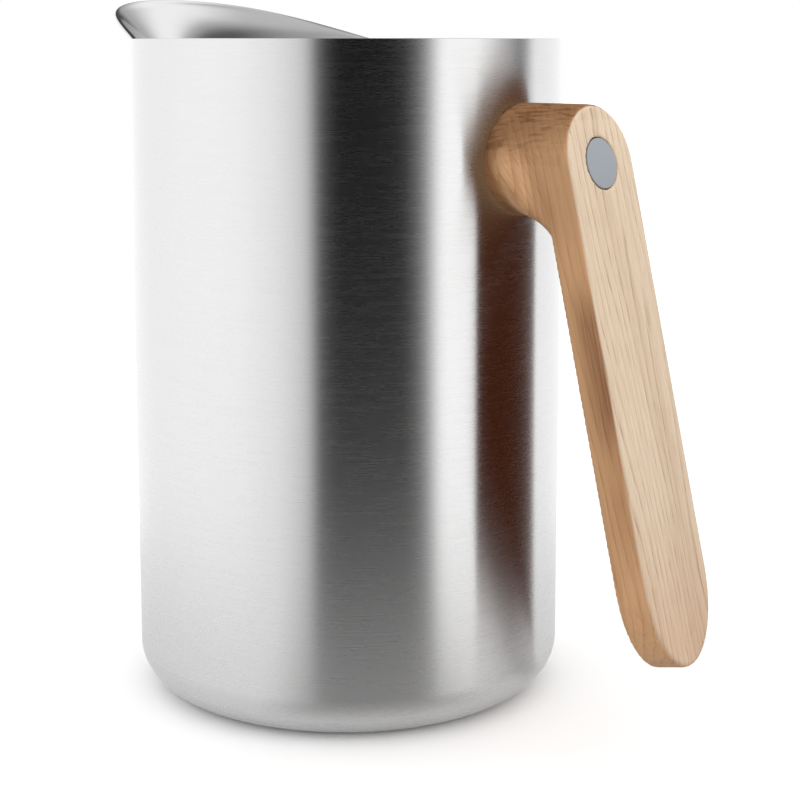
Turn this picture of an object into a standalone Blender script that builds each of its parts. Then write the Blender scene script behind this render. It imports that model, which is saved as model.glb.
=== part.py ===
"""Insulated jug with a brushed steel vacuum body, a flared pouring lip, a flip lid and an oak handle.

Units are metres and +Z is up. The origin is the centre of the base, on the axis of the body.
The handle points along +X and the pouring lip along -X.
"""

import math

import bmesh
import bpy
from mathutils import Matrix, Vector

# Driving dimensions of the body
BODY_RADIUS = 0.0575
RIM_HEIGHT = 0.1750
CORNER_RADIUS = 0.0118
SHELL_WALL = 0.0010
SHEET_WALL = 0.0008
SEAM = 0.0003
MERGE = 0.00001
WELD = 0.0001

# Base of the body, from the table upwards
PAD_RADIUS = 0.0414
PAD_THICKNESS = 0.0021
PAD_EDGE = 0.0005
SHELL_LIFT = 0.0004
BASE_OPENING = 0.0420
HEM_HEIGHT = 0.0040
PLATE_BOTTOM = PAD_THICKNESS + SEAM
DIMPLE_RISE = 0.0012
DIMPLE_RADIUS = 0.0090
DIMPLE_FLOOR_RADIUS = 0.0065
EVACUATION_HOLE = 0.0015

# Inner flask, with the vacuum gap between it and the shell
FLASK_RADIUS = 0.0512
FLASK_FLOOR = 0.0093
FLASK_CORNER = 0.0110
SHOULDER_BOTTOM = 0.1340
SHOULDER_TOP = 0.1440
FLASK_TOP = 0.1565
GETTER_RADIUS = 0.0060
GETTER_HEIGHT = 0.0018
GETTER_OFFSET = 0.0180

# Pouring collar: a neck sleeve, a funnel up to the rim and a lip that rises over the spout
NECK_RADIUS = 0.0460
NECK_BOTTOM = 0.1460
NECK_TOP = 0.1580
FUNNEL_SWELL = 0.0080
RIM_BAND = 0.0012
COLLAR_EDGE_RADIUS = BODY_RADIUS - 0.0001
LIP_REACH = 0.0086
LIP_SPREAD = 0.741
LIP_SQUARENESS = 3.75
LIP_TAIL = 0.06
LIP_SLOPE = 0.325
LIP_START = 0.0315
LIP_LEAN = math.radians(42)
FUNNEL_ROWS = 6

# Lid and its flap
LID_GAP = 0.0004
LID_TOP = 0.1710
RECESS_RADIUS = 0.0426
DECK_TOP = 0.1605
DECK_THICKNESS = 0.0020
SKIRT_RADIUS = 0.0446
SKIRT_WALL = 0.0020
SKIRT_BOTTOM = 0.1482
GROOVE_BOTTOM = 0.1505
GROOVE_TOP = 0.1545
GROOVE_DEPTH = 0.0012
LID_BOTTOM = 0.1460
PORT_OFFSET = -0.0120
PORT_RADIUS = 0.0180
DUCT_WALL = 0.0012
NOTCH_HALF_WIDTH = 0.0200
NOTCH_START = -0.0300
NOTCH_FLOOR = 0.1612
FLAP_RADIUS = 0.0412
FLAP_BOTTOM = 0.1649
FLAP_TOP = 0.1696
FLAP_EDGE = 0.0005
HINGE_X = 0.0340
HINGE_Z = 0.1672
PIN_RADIUS = 0.00125
PIN_BORE = 0.0015
PIN_HALF_LENGTH = 0.0310
COVER_RADIUS = 0.0408
COVER_THICKNESS = 0.0010
SEAT_BOSS_RADIUS = 0.0215
SEAL_INNER = 0.0185
SEAL_OUTER = 0.0212
SEAL_TOP = 0.1629

# Oak handle: a round boss on the body and a flat leg that leans outwards as it goes down
BOSS_HEIGHT = 0.1453
BOSS_RADIUS = 0.0140
HANDLE_REACH = 0.0814
LEG_TILT = math.radians(13.2)
LEG_HALF_WIDTH = 0.0141
LEG_THICKNESS = 0.0087
LEG_LENGTH = 0.1016
LEG_TIP_LENGTH = 0.0211
LEG_ROOT_RISE = 0.0010
LEG_ROOT_HALF_WIDTH = 0.0137
LEG_ROOT_TAPER = 0.0040
INNER_FILLET = 0.0110
FILLET_BITE = 0.0002
WEB_START = 0.0610
WEB_SQUARENESS = 10.0
HANDLE_EDGE = 0.0007

# Handle fixing, with distances along +X from the body axis
BUSH_RADIUS = 0.0060
BUSH_END = 0.0660
BUSH_SOCKET_END = 0.0665
SCREW_TIP = 0.0600
SCREW_RADIUS = 0.0030
SCREW_HEAD_START = 0.0723
SCREW_HEAD_RADIUS = 0.0050
SCREW_HEAD_END = 0.0770
HEX_RADIUS = 0.0029
HEX_DEPTH = 0.0026
WASHER_START = 0.0708
WASHER_END = 0.0720
WASHER_RADIUS = 0.0058
COUNTERBORE_START = 0.0705
COUNTERBORE_RADIUS = 0.0061
CLEARANCE_HOLE = 0.0034
PLUG_RADIUS = 0.0062
PLUG_THICKNESS = 0.0026
PLUG_POCKET_DEPTH = 0.0030
PLUG_EDGE = 0.0002
LOCATING_DROP = 0.0099
LOCATING_RADIUS = 0.0015
LOCATING_END = 0.0635

# Facet counts
BODY_STEPS = 64
FLASK_STEPS = 36
LID_STEPS = 48
SMALL_STEPS = 24
CORNER_STEPS = 5
COLLAR_STEPS = 72
BOSS_STEPS = 36
WEB_STEPS = 6

AXIS_Z = Vector((0, 0, 1))
LEG_NORMAL = Vector((math.cos(LEG_TILT), 0, math.sin(LEG_TILT)))
LEG_UP = Vector((-math.sin(LEG_TILT), 0, math.cos(LEG_TILT)))
HEAD_CENTRE = Vector((HANDLE_REACH, 0, BOSS_HEIGHT))


def clear_scene():
    """Remove every object of the open scene."""
    for stale in list(bpy.data.objects):
        bpy.data.objects.remove(stale, do_unlink=True)


def new_collection(name):
    """Add an empty collection to the scene."""
    collection = bpy.data.collections.new(name)
    bpy.context.scene.collection.children.link(collection)
    return collection


def finish(name, colour, roughness, metallic=0.0):
    """Make a plain Principled material."""
    material = bpy.data.materials.new(name)
    material.use_nodes = True
    shader = material.node_tree.nodes["Principled BSDF"]
    shader.inputs["Base Color"].default_value = (*colour, 1.0)
    shader.inputs["Roughness"].default_value = roughness
    shader.inputs["Metallic"].default_value = metallic
    return material


clear_scene()
JUG = new_collection("insulated_jug")
CUTTERS = new_collection("cutters")
BRUSHED_STEEL = finish("brushed_steel", (0.63, 0.63, 0.62), 0.28, 1.0)
SATIN_STEEL = finish("satin_steel", (0.60, 0.60, 0.60), 0.38, 1.0)
OAK = finish("oak", (0.66, 0.48, 0.32), 0.55)
GREY_PLASTIC = finish("grey_plastic", (0.36, 0.39, 0.42), 0.45)
BLACK_PLASTIC = finish("black_plastic", (0.02, 0.02, 0.021), 0.5)
SILICONE = finish("silicone", (0.05, 0.05, 0.05), 0.7)
FOAM = finish("foam", (0.85, 0.85, 0.82), 0.9)
SOLDER = finish("solder", (0.45, 0.45, 0.47), 0.4, 1.0)


def add_part(name, mesh, material):
    """Put a mesh in the jug's collection as a named piece with its own finish."""
    part = bpy.data.objects.new(name, mesh)
    JUG.objects.link(part)
    part.data.materials.append(material)
    return part


def add_cutter(name, mesh):
    """Put a mesh in the cutters' collection, out of renders and drawn as wire."""
    cutter = bpy.data.objects.new(name, mesh)
    CUTTERS.objects.link(cutter)
    cutter.hide_render = True
    cutter.display_type = "WIRE"
    return cutter


def profile_mesh(name, points, closed):
    """Chain (radius, height) points into a mesh of edges in the XZ plane."""
    mesh = bpy.data.meshes.new(name)
    edges = [(i, i + 1) for i in range(len(points) - 1)]
    if closed:
        edges.append((len(points) - 1, 0))
    mesh.from_pydata([(r, 0, z) for r, z in points], edges, [])
    return mesh


def add_turning(part, steps):
    """Turn a profile through a full circle about the object's own Z axis."""
    screw = part.modifiers.new("turning", "SCREW")
    screw.axis = "Z"
    screw.angle = math.tau
    screw.steps = steps
    screw.render_steps = steps
    screw.use_merge_vertices = True
    screw.merge_threshold = MERGE
    screw.use_smooth_shade = True
    return part


def turned(name, points, material, steps, closed=True):
    """Make a turned piece from a profile whose outer side runs from top to bottom."""
    return add_turning(add_part(name, profile_mesh(name, points, closed), material), steps)


def rod_mesh(name, radius, start, end, steps):
    """Make a capped cylinder between two points."""
    start, end = Vector(start), Vector(end)
    along = end - start
    place = Matrix.Translation((start + end) / 2) @ AXIS_Z.rotation_difference(along).to_matrix().to_4x4()
    builder = bmesh.new()
    bmesh.ops.create_cone(
        builder,
        cap_ends=True,
        segments=steps,
        radius1=radius,
        radius2=radius,
        depth=along.length,
        matrix=place,
    )
    mesh = bpy.data.meshes.new(name)
    builder.to_mesh(mesh)
    builder.free()
    mesh.shade_smooth()
    mesh.set_sharp_from_angle(angle=math.radians(40))
    return mesh


def box_cutter(name, low, high):
    """Make a box cutter between two corners."""
    low, high = Vector(low), Vector(high)
    builder = bmesh.new()
    size = Matrix.Diagonal((*(high - low), 1.0))
    bmesh.ops.create_cube(builder, size=1.0, matrix=Matrix.Translation((low + high) / 2) @ size)
    mesh = bpy.data.meshes.new(name)
    builder.to_mesh(mesh)
    builder.free()
    return add_cutter(name, mesh)


def combine(part, other, operation):
    """Cut, join or trim a piece by another object."""
    boolean = part.modifiers.new(f"{operation.lower()} {other.name}", "BOOLEAN")
    boolean.operation = operation
    boolean.solver = "EXACT"
    boolean.object = other
    return part


def arc(centre, radius, start, end, steps):
    """List the points of an arc in a profile plane, with angles in degrees from +radius towards +height."""
    angles = [math.radians(start + (end - start) * i / steps) for i in range(steps + 1)]
    return [(centre[0] + radius * math.cos(a), centre[1] + radius * math.sin(a)) for a in angles]


def carrier(name, location, parent=None):
    """Add an empty that carries the pieces of one moving body."""
    empty = bpy.data.objects.new(name, None)
    JUG.objects.link(empty)
    empty.empty_display_size = 0.01
    empty.location = location
    if parent:
        carry(empty, parent)
    return empty


def place_of(item):
    """Give an object's place in the world from its own channels and those of its parents."""
    place = item.matrix_basis.copy()
    if item.parent:
        place = place_of(item.parent) @ item.matrix_parent_inverse @ place
    return place


def carry(item, empty):
    """Parent an object to an empty and keep it where it is."""
    item.parent = empty
    item.matrix_parent_inverse = place_of(empty).inverted()
    return item


def along_x(item, height):
    """Lay an object turned about Z so that its own Z runs along +X from the body axis."""
    item.location = (0, 0, height)
    item.rotation_euler = (0, math.radians(90), 0)
    return item


def build_outer_shell():
    """Drawn outer wall with its rounded foot and the hem around the base opening."""
    corner = (BODY_RADIUS - CORNER_RADIUS, SHELL_LIFT + CORNER_RADIUS)
    top = RIM_HEIGHT - SHEET_WALL - SEAM
    floor = SHELL_LIFT + SHELL_WALL
    hem = SHELL_LIFT + HEM_HEIGHT
    outside = [(BODY_RADIUS, top)] + arc(corner, CORNER_RADIUS, 0, -90, CORNER_STEPS)
    turn_up = [
        (BASE_OPENING, SHELL_LIFT),
        (BASE_OPENING, hem),
        (BASE_OPENING + SHELL_WALL, hem),
        (BASE_OPENING + SHELL_WALL, floor),
    ]
    inside = arc(corner, CORNER_RADIUS - SHELL_WALL, -90, 0, CORNER_STEPS)
    inside.append((BODY_RADIUS - SHELL_WALL, top))
    return turned("outer_shell", outside + turn_up + inside, BRUSHED_STEEL, BODY_STEPS)


def build_base():
    """Base plate with its evacuation dimple, the solder seal in it and the pad the jug stands on."""
    plate_radius = BASE_OPENING - SEAM
    plate_top = PLATE_BOTTOM + SHEET_WALL
    dimple_roof = PLATE_BOTTOM + DIMPLE_RISE
    plate = [
        (plate_radius, plate_top),
        (plate_radius, PLATE_BOTTOM),
        (DIMPLE_RADIUS, PLATE_BOTTOM),
        (DIMPLE_FLOOR_RADIUS, dimple_roof),
        (EVACUATION_HOLE, dimple_roof),
        (EVACUATION_HOLE, dimple_roof + SHEET_WALL),
        (DIMPLE_FLOOR_RADIUS, dimple_roof + SHEET_WALL),
        (DIMPLE_RADIUS, plate_top),
    ]
    turned("base_plate", plate, SATIN_STEEL, FLASK_STEPS)
    stem_radius = EVACUATION_HOLE - SEAM
    bead_top = dimple_roof - SEAM
    bead_radius = DIMPLE_FLOOR_RADIUS - 0.0015
    seal = [
        (0, dimple_roof + SHEET_WALL),
        (stem_radius, dimple_roof + SHEET_WALL),
        (stem_radius, bead_top),
        (bead_radius, bead_top),
        (bead_radius * 0.75, PLATE_BOTTOM + SEAM),
        (0, PLATE_BOTTOM),
    ]
    turned("vacuum_seal", seal, SOLDER, SMALL_STEPS, closed=False)
    pad = [
        (0, PAD_THICKNESS),
        (PAD_RADIUS, PAD_THICKNESS),
        (PAD_RADIUS, PAD_EDGE),
        (PAD_RADIUS - PAD_EDGE, 0),
        (0, 0),
    ]
    turned("base_pad", pad, SILICONE, LID_STEPS, closed=False)


def shoulder(radius_below, radius_above, steps=4):
    """List an S-shaped shoulder from the flask's wall up to its neck."""
    points = []
    for i in range(steps + 1):
        share = i / steps
        ease = share * share * (3 - 2 * share)
        radius = radius_below + (radius_above - radius_below) * ease
        points.append((radius, SHOULDER_BOTTOM + (SHOULDER_TOP - SHOULDER_BOTTOM) * share))
    return points


def build_inner_flask():
    """Drawn inner vessel with a rounded floor, a shoulder and the neck that takes the collar."""
    neck = NECK_RADIUS + SHEET_WALL + SEAM
    corner = (FLASK_RADIUS - FLASK_CORNER, FLASK_FLOOR + FLASK_CORNER)
    inside = [(0, FLASK_FLOOR)] + arc(corner, FLASK_CORNER, -90, 0, CORNER_STEPS)
    inside += shoulder(FLASK_RADIUS, neck) + [(neck, FLASK_TOP)]
    outside = [(neck + SHEET_WALL, FLASK_TOP)]
    outside += reversed(shoulder(FLASK_RADIUS + SHEET_WALL, neck + SHEET_WALL))
    outside += arc(corner, FLASK_CORNER + SHEET_WALL, 0, -90, CORNER_STEPS)
    outside += [(0, FLASK_FLOOR - SHEET_WALL)]
    return turned("inner_flask", inside + outside, SATIN_STEEL, FLASK_STEPS, closed=False)


def build_getter():
    """Gas getter under the flask's floor, inside the vacuum."""
    top = FLASK_FLOOR - SHEET_WALL - SEAM
    mesh = rod_mesh(
        "getter",
        GETTER_RADIUS,
        (GETTER_OFFSET, 0, top - GETTER_HEIGHT),
        (GETTER_OFFSET, 0, top),
        SMALL_STEPS,
    )
    return add_part("getter", mesh, SOLDER)


def lip_share(azimuth):
    """Give how much of the spout is in the collar at this angle from -X, from 0 to 1."""
    swell = math.exp(-abs(azimuth / LIP_SPREAD) ** LIP_SQUARENESS)
    return max(0.0, (swell - LIP_TAIL) / (1 - LIP_TAIL))


def collar_edge(azimuth):
    """Give the radius and height of the collar's free edge at this angle from -X."""
    radius = COLLAR_EDGE_RADIUS + LIP_REACH * lip_share(azimuth)
    rise = LIP_SLOPE * (radius * math.cos(azimuth) - LIP_START)
    return radius, RIM_HEIGHT + max(0.0, rise)


def collar_point(azimuth, row):
    """Give the radius and height of the collar's upper face, from the sleeve's foot to the free edge."""
    if row == 0:
        return NECK_RADIUS, NECK_BOTTOM
    edge_radius, edge_height = collar_edge(azimuth)
    if row > FUNNEL_ROWS:
        return edge_radius, edge_height
    share = lip_share(azimuth)
    lean = math.radians(90) + (LIP_LEAN - math.radians(90)) * share
    end_radius = edge_radius - RIM_BAND * math.sin(lean)
    end_height = edge_height - RIM_BAND * math.cos(lean) - 0.0001 * (1 - share)
    along = (row - 1) / (FUNNEL_ROWS - 1)
    bend_height = NECK_TOP + FUNNEL_SWELL * (1 + 0.3 * share)
    radius = NECK_RADIUS + (end_radius - NECK_RADIUS) * along**2
    height = (
        NECK_TOP * (1 - along) ** 2
        + bend_height * 2 * along * (1 - along)
        + end_height * along**2
    )
    return radius, height


def build_pouring_collar():
    """Pressed collar: one sheet from the neck sleeve through the funnel to the rim and the pouring lip."""
    rows = FUNNEL_ROWS + 1
    builder = bmesh.new()
    bmesh.ops.create_grid(builder, x_segments=COLLAR_STEPS, y_segments=rows, size=1.0)
    for vertex in builder.verts:
        azimuth = -math.pi * vertex.co.x
        row = round((vertex.co.y + 1) / 2 * rows)
        radius, height = collar_point(azimuth, row)
        vertex.co = (-radius * math.cos(azimuth), -radius * math.sin(azimuth), height)
    bmesh.ops.remove_doubles(builder, verts=builder.verts, dist=MERGE)
    mesh = bpy.data.meshes.new("pouring_collar")
    builder.to_mesh(mesh)
    builder.free()
    mesh.shade_smooth()
    collar = add_part("pouring_collar", mesh, SATIN_STEEL)
    sheet = collar.modifiers.new("sheet", "SOLIDIFY")
    sheet.thickness = SHEET_WALL
    sheet.offset = -1
    sheet.use_even_offset = True
    return collar


def leg_outline():
    """List the leg's outline as (sideways, up) points, from one root corner round the tip to the other."""
    tip = [
        (LEG_HALF_WIDTH * math.cos(a), -LEG_LENGTH + LEG_TIP_LENGTH * math.sin(a))
        for a in (math.radians(-180 + 180 * i / 20) for i in range(21))
    ]
    left = [(-LEG_ROOT_HALF_WIDTH, LEG_ROOT_RISE), (-LEG_HALF_WIDTH, -LEG_ROOT_TAPER)]
    right = [(-sideways, up) for sideways, up in reversed(left)]
    return left + tip + right


def prism(name, outline, depth, place):
    """Extrude a flat outline by half the depth to either side, as a mesh cutter at a place."""
    curve = bpy.data.curves.new(name, "CURVE")
    curve.dimensions = "2D"
    curve.fill_mode = "BOTH"
    curve.extrude = depth / 2
    spline = curve.splines.new("POLY")
    spline.points.add(len(outline) - 1)
    for point, (sideways, up) in zip(spline.points, outline):
        point.co = (sideways, up, 0, 1)
    spline.use_cyclic_u = True
    flat = bpy.data.objects.new(name, curve)
    CUTTERS.objects.link(flat)
    bpy.context.view_layer.update()
    graph = bpy.context.evaluated_depsgraph_get()
    mesh = bpy.data.meshes.new_from_object(flat.evaluated_get(graph))
    bpy.data.objects.remove(flat)
    builder = bmesh.new()
    builder.from_mesh(mesh)
    bmesh.ops.remove_doubles(builder, verts=builder.verts, dist=MERGE)
    bmesh.ops.recalc_face_normals(builder, faces=builder.faces)
    builder.to_mesh(mesh)
    builder.free()
    solid = add_cutter(name, mesh)
    solid.matrix_basis = place
    return solid


def facing_place(offset):
    """Give the place of a plane parallel to the leg's outer face, moved outwards by the offset."""
    axes = Matrix((Vector((0, 1, 0)), LEG_UP, LEG_NORMAL)).transposed().to_4x4()
    return Matrix.Translation(HEAD_CENTRE + LEG_NORMAL * offset) @ axes


def half_ellipse(width, length, base, start, offset, steps=24):
    """List half an ellipse in the leg's plane, moved outwards along its own normals by the offset."""
    points = []
    for i in range(steps + 1):
        angle = math.radians(start + 180 * i / steps)
        normal = Vector((math.cos(angle) / width, math.sin(angle) / length)).normalized()
        points.append(Vector((width * math.cos(angle), base + length * math.sin(angle))) + normal * offset)
    return points


def facing_tool():
    """Make the solid that faces the handle's outer side flat and eases the edge around it."""
    builder = bmesh.new()
    depth = 0.04
    for offset, height in ((-HANDLE_EDGE, 0), (depth - HANDLE_EDGE, -depth)):
        top = half_ellipse(BOSS_RADIUS, BOSS_RADIUS / math.cos(LEG_TILT), 0, 0, offset)
        tip = half_ellipse(LEG_HALF_WIDTH, LEG_TIP_LENGTH, -LEG_LENGTH, 180, offset)
        for point in top + tip:
            builder.verts.new((*point, height))
    hull = bmesh.ops.convex_hull(builder, input=builder.verts)
    bmesh.ops.delete(builder, geom=hull["geom_interior"], context="VERTS")
    flat = math.radians(0.5)
    bmesh.ops.dissolve_limit(builder, angle_limit=flat, verts=builder.verts, edges=builder.edges)
    mesh = bpy.data.meshes.new("facing")
    builder.to_mesh(mesh)
    builder.free()
    tool = add_cutter("facing", mesh)
    tool.matrix_basis = facing_place(0)
    return tool


def ease_edges(part):
    """Round the sharp edges of a piece slightly."""
    easing = part.modifiers.new("eased edges", "BEVEL")
    easing.width = HANDLE_EDGE
    easing.segments = 2
    easing.limit_method = "ANGLE"
    easing.angle_limit = math.radians(50)
    return part


def boss_rows():
    """List the boss's sections as (distance along +X, depth below its axis), with the hollow under the leg."""
    inner_face = HANDLE_REACH - LEG_THICKNESS / math.cos(LEG_TILT)
    centre_depth = BOSS_RADIUS + INNER_FILLET
    centre_x = inner_face + centre_depth * math.tan(LEG_TILT) - INNER_FILLET / math.cos(LEG_TILT)
    centre_x += FILLET_BITE
    rows = [(BODY_RADIUS - 0.004, BOSS_RADIUS), (WEB_START, BOSS_RADIUS)]
    rows += [((WEB_START + centre_x) / 2, BOSS_RADIUS)]
    for i in range(WEB_STEPS + 1):
        angle = math.radians(90) + (LEG_TILT - math.radians(90)) * i / WEB_STEPS
        rows.append((centre_x + INNER_FILLET * math.cos(angle), centre_depth - INNER_FILLET * math.sin(angle)))
    return rows + [(HANDLE_REACH + 0.008, rows[-1][1])]


def boss_section(angle, depth, squareness):
    """Give a point of a section as (sideways, up): round above the axis, squarer and deeper below it."""
    sideways, up = math.cos(angle), math.sin(angle)
    if up > -MERGE:
        return BOSS_RADIUS * sideways, BOSS_RADIUS * up
    power = 2 / squareness
    return math.copysign(BOSS_RADIUS * abs(sideways) ** power, sideways), -depth * abs(up) ** power


def boss_mesh():
    """Loft the boss from a round end on the body to the full width of the leg."""
    rows = boss_rows()
    last = rows[-2][0]
    builder = bmesh.new()
    bmesh.ops.create_grid(builder, x_segments=BOSS_STEPS, y_segments=len(rows) - 1, size=1.0)
    for vertex in builder.verts:
        along, depth = rows[round((vertex.co.y + 1) / 2 * (len(rows) - 1))]
        share = min(max((along - WEB_START) / (last - WEB_START), 0), 1)
        squareness = 2 + (WEB_SQUARENESS - 2) * share**2 * (3 - 2 * share)
        sideways, up = boss_section(math.pi * vertex.co.x, depth, squareness)
        vertex.co = (along, sideways, BOSS_HEIGHT + up)
    bmesh.ops.remove_doubles(builder, verts=builder.verts, dist=MERGE)
    bmesh.ops.holes_fill(builder, edges=builder.edges, sides=0)
    bmesh.ops.recalc_face_normals(builder, faces=builder.faces)
    mesh = bpy.data.meshes.new("handle")
    builder.to_mesh(mesh)
    builder.free()
    return mesh


def build_handle():
    """Oak handle: boss and leg joined, faced off flat, eased at the edges and bored."""
    handle = add_part("handle", boss_mesh(), OAK)
    overshoot = 0.004
    leg_depth = LEG_THICKNESS + overshoot
    leg = prism("leg", leg_outline(), leg_depth, facing_place(overshoot - leg_depth / 2))
    combine(handle, ease_edges(leg), "UNION")
    combine(handle, facing_tool(), "INTERSECT")
    weld = handle.modifiers.new("weld", "WELD")
    weld.merge_threshold = WELD
    body_clearance = BODY_RADIUS + SEAM
    saddle = rod_mesh("saddle", body_clearance, (0, 0, 0.10), (0, 0, 0.19), 2 * BODY_STEPS)
    combine(handle, add_cutter("saddle", saddle), "DIFFERENCE")
    bores = [
        ("bush_socket", BUSH_RADIUS + 2 * SEAM, 0.05, BUSH_SOCKET_END, BOSS_HEIGHT),
        ("clearance_hole", CLEARANCE_HOLE, 0.06, HANDLE_REACH - 0.004, BOSS_HEIGHT),
        ("counterbore", COUNTERBORE_RADIUS, COUNTERBORE_START, HANDLE_REACH - 0.0018, BOSS_HEIGHT),
        ("locating_hole", LOCATING_RADIUS + SEAM, 0.05, LOCATING_END + SEAM, BOSS_HEIGHT - LOCATING_DROP),
    ]
    for name, radius, start, end, height in bores:
        bore = add_cutter(name, rod_mesh(name, radius, (start, 0, height), (end, 0, height), SMALL_STEPS))
        combine(handle, bore, "DIFFERENCE")
    pocket_floor = HEAD_CENTRE - LEG_NORMAL * PLUG_POCKET_DEPTH
    pocket_mouth = HEAD_CENTRE + LEG_NORMAL * overshoot
    pocket = rod_mesh("plug_pocket", PLUG_RADIUS + SEAM, pocket_floor, pocket_mouth, SMALL_STEPS)
    combine(handle, add_cutter("plug_pocket", pocket), "DIFFERENCE")
    return handle


def build_handle_fixing():
    """Bush and pin on the shell, the screw with its washer, and the plug that hides them."""
    bush = add_part(
        "mounting_bush",
        rod_mesh("mounting_bush", BUSH_RADIUS, (0.054, 0, BOSS_HEIGHT), (BUSH_END, 0, BOSS_HEIGHT), SMALL_STEPS),
        SATIN_STEEL,
    )
    combine(bush, bpy.data.objects["saddle"], "DIFFERENCE")
    thread = rod_mesh(
        "thread_bore",
        SCREW_RADIUS + SEAM,
        (SCREW_TIP - 2 * SEAM, 0, BOSS_HEIGHT),
        (BUSH_END + 0.002, 0, BOSS_HEIGHT),
        SMALL_STEPS,
    )
    combine(bush, add_cutter("thread_bore", thread), "DIFFERENCE")
    screw = [
        (0, SCREW_HEAD_END),
        (SCREW_HEAD_RADIUS - 0.0005, SCREW_HEAD_END),
        (SCREW_HEAD_RADIUS, SCREW_HEAD_END - 0.0005),
        (SCREW_HEAD_RADIUS, SCREW_HEAD_START),
        (SCREW_RADIUS, SCREW_HEAD_START),
        (SCREW_RADIUS, SCREW_TIP + 0.0008),
        (SCREW_RADIUS - 0.0008, SCREW_TIP),
        (0, SCREW_TIP),
    ]
    screw = along_x(turned("handle_screw", screw, SATIN_STEEL, SMALL_STEPS, closed=False), BOSS_HEIGHT)
    hexagon = rod_mesh(
        "hex_socket",
        HEX_RADIUS,
        (SCREW_HEAD_END - HEX_DEPTH, 0, BOSS_HEIGHT),
        (SCREW_HEAD_END + 0.002, 0, BOSS_HEIGHT),
        6,
    )
    combine(screw, add_cutter("hex_socket", hexagon), "DIFFERENCE")
    washer = [
        (WASHER_RADIUS, WASHER_END),
        (WASHER_RADIUS, WASHER_START),
        (SCREW_RADIUS + SEAM, WASHER_START),
        (SCREW_RADIUS + SEAM, WASHER_END),
    ]
    along_x(turned("screw_washer", washer, SATIN_STEEL, SMALL_STEPS), BOSS_HEIGHT)
    pin_height = BOSS_HEIGHT - LOCATING_DROP
    pin = add_part(
        "locating_pin",
        rod_mesh("locating_pin", LOCATING_RADIUS, (0.054, 0, pin_height), (LOCATING_END, 0, pin_height), 24),
        SATIN_STEEL,
    )
    combine(pin, bpy.data.objects["saddle"], "DIFFERENCE")
    plug = [
        (0, 0),
        (PLUG_RADIUS - PLUG_EDGE, 0),
        (PLUG_RADIUS, -PLUG_EDGE),
        (PLUG_RADIUS, -PLUG_THICKNESS),
        (0, -PLUG_THICKNESS),
    ]
    plug = turned("handle_plug", plug, GREY_PLASTIC, SMALL_STEPS, closed=False)
    plug.location = HEAD_CENTRE
    plug.rotation_euler = (0, math.radians(90) - LEG_TILT, 0)


def funnel_radius(height):
    """Give the funnel's radius at this height, away from the spout."""
    low, high = 0.0, 1.0
    end_radius = COLLAR_EDGE_RADIUS - RIM_BAND
    for _ in range(40):
        along = (low + high) / 2
        reached = (
            NECK_TOP * (1 - along) ** 2
            + (NECK_TOP + FUNNEL_SWELL) * 2 * along * (1 - along)
            + RIM_HEIGHT * along**2
        )
        low, high = (along, high) if reached < height else (low, along)
    return NECK_RADIUS + (end_radius - NECK_RADIUS) * along**2


def port_tube(name, radius, bottom, top):
    """Make an upright cylinder mesh on the axis of the pouring port."""
    return rod_mesh(name, radius, (PORT_OFFSET, 0, bottom), (PORT_OFFSET, 0, top), 40)


def pin_mesh(name, radius, half_length):
    """Make a cylinder mesh along the flap's hinge line."""
    return rod_mesh(name, radius, (HINGE_X, -half_length, HINGE_Z), (HINGE_X, half_length, HINGE_Z), 24)


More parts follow.
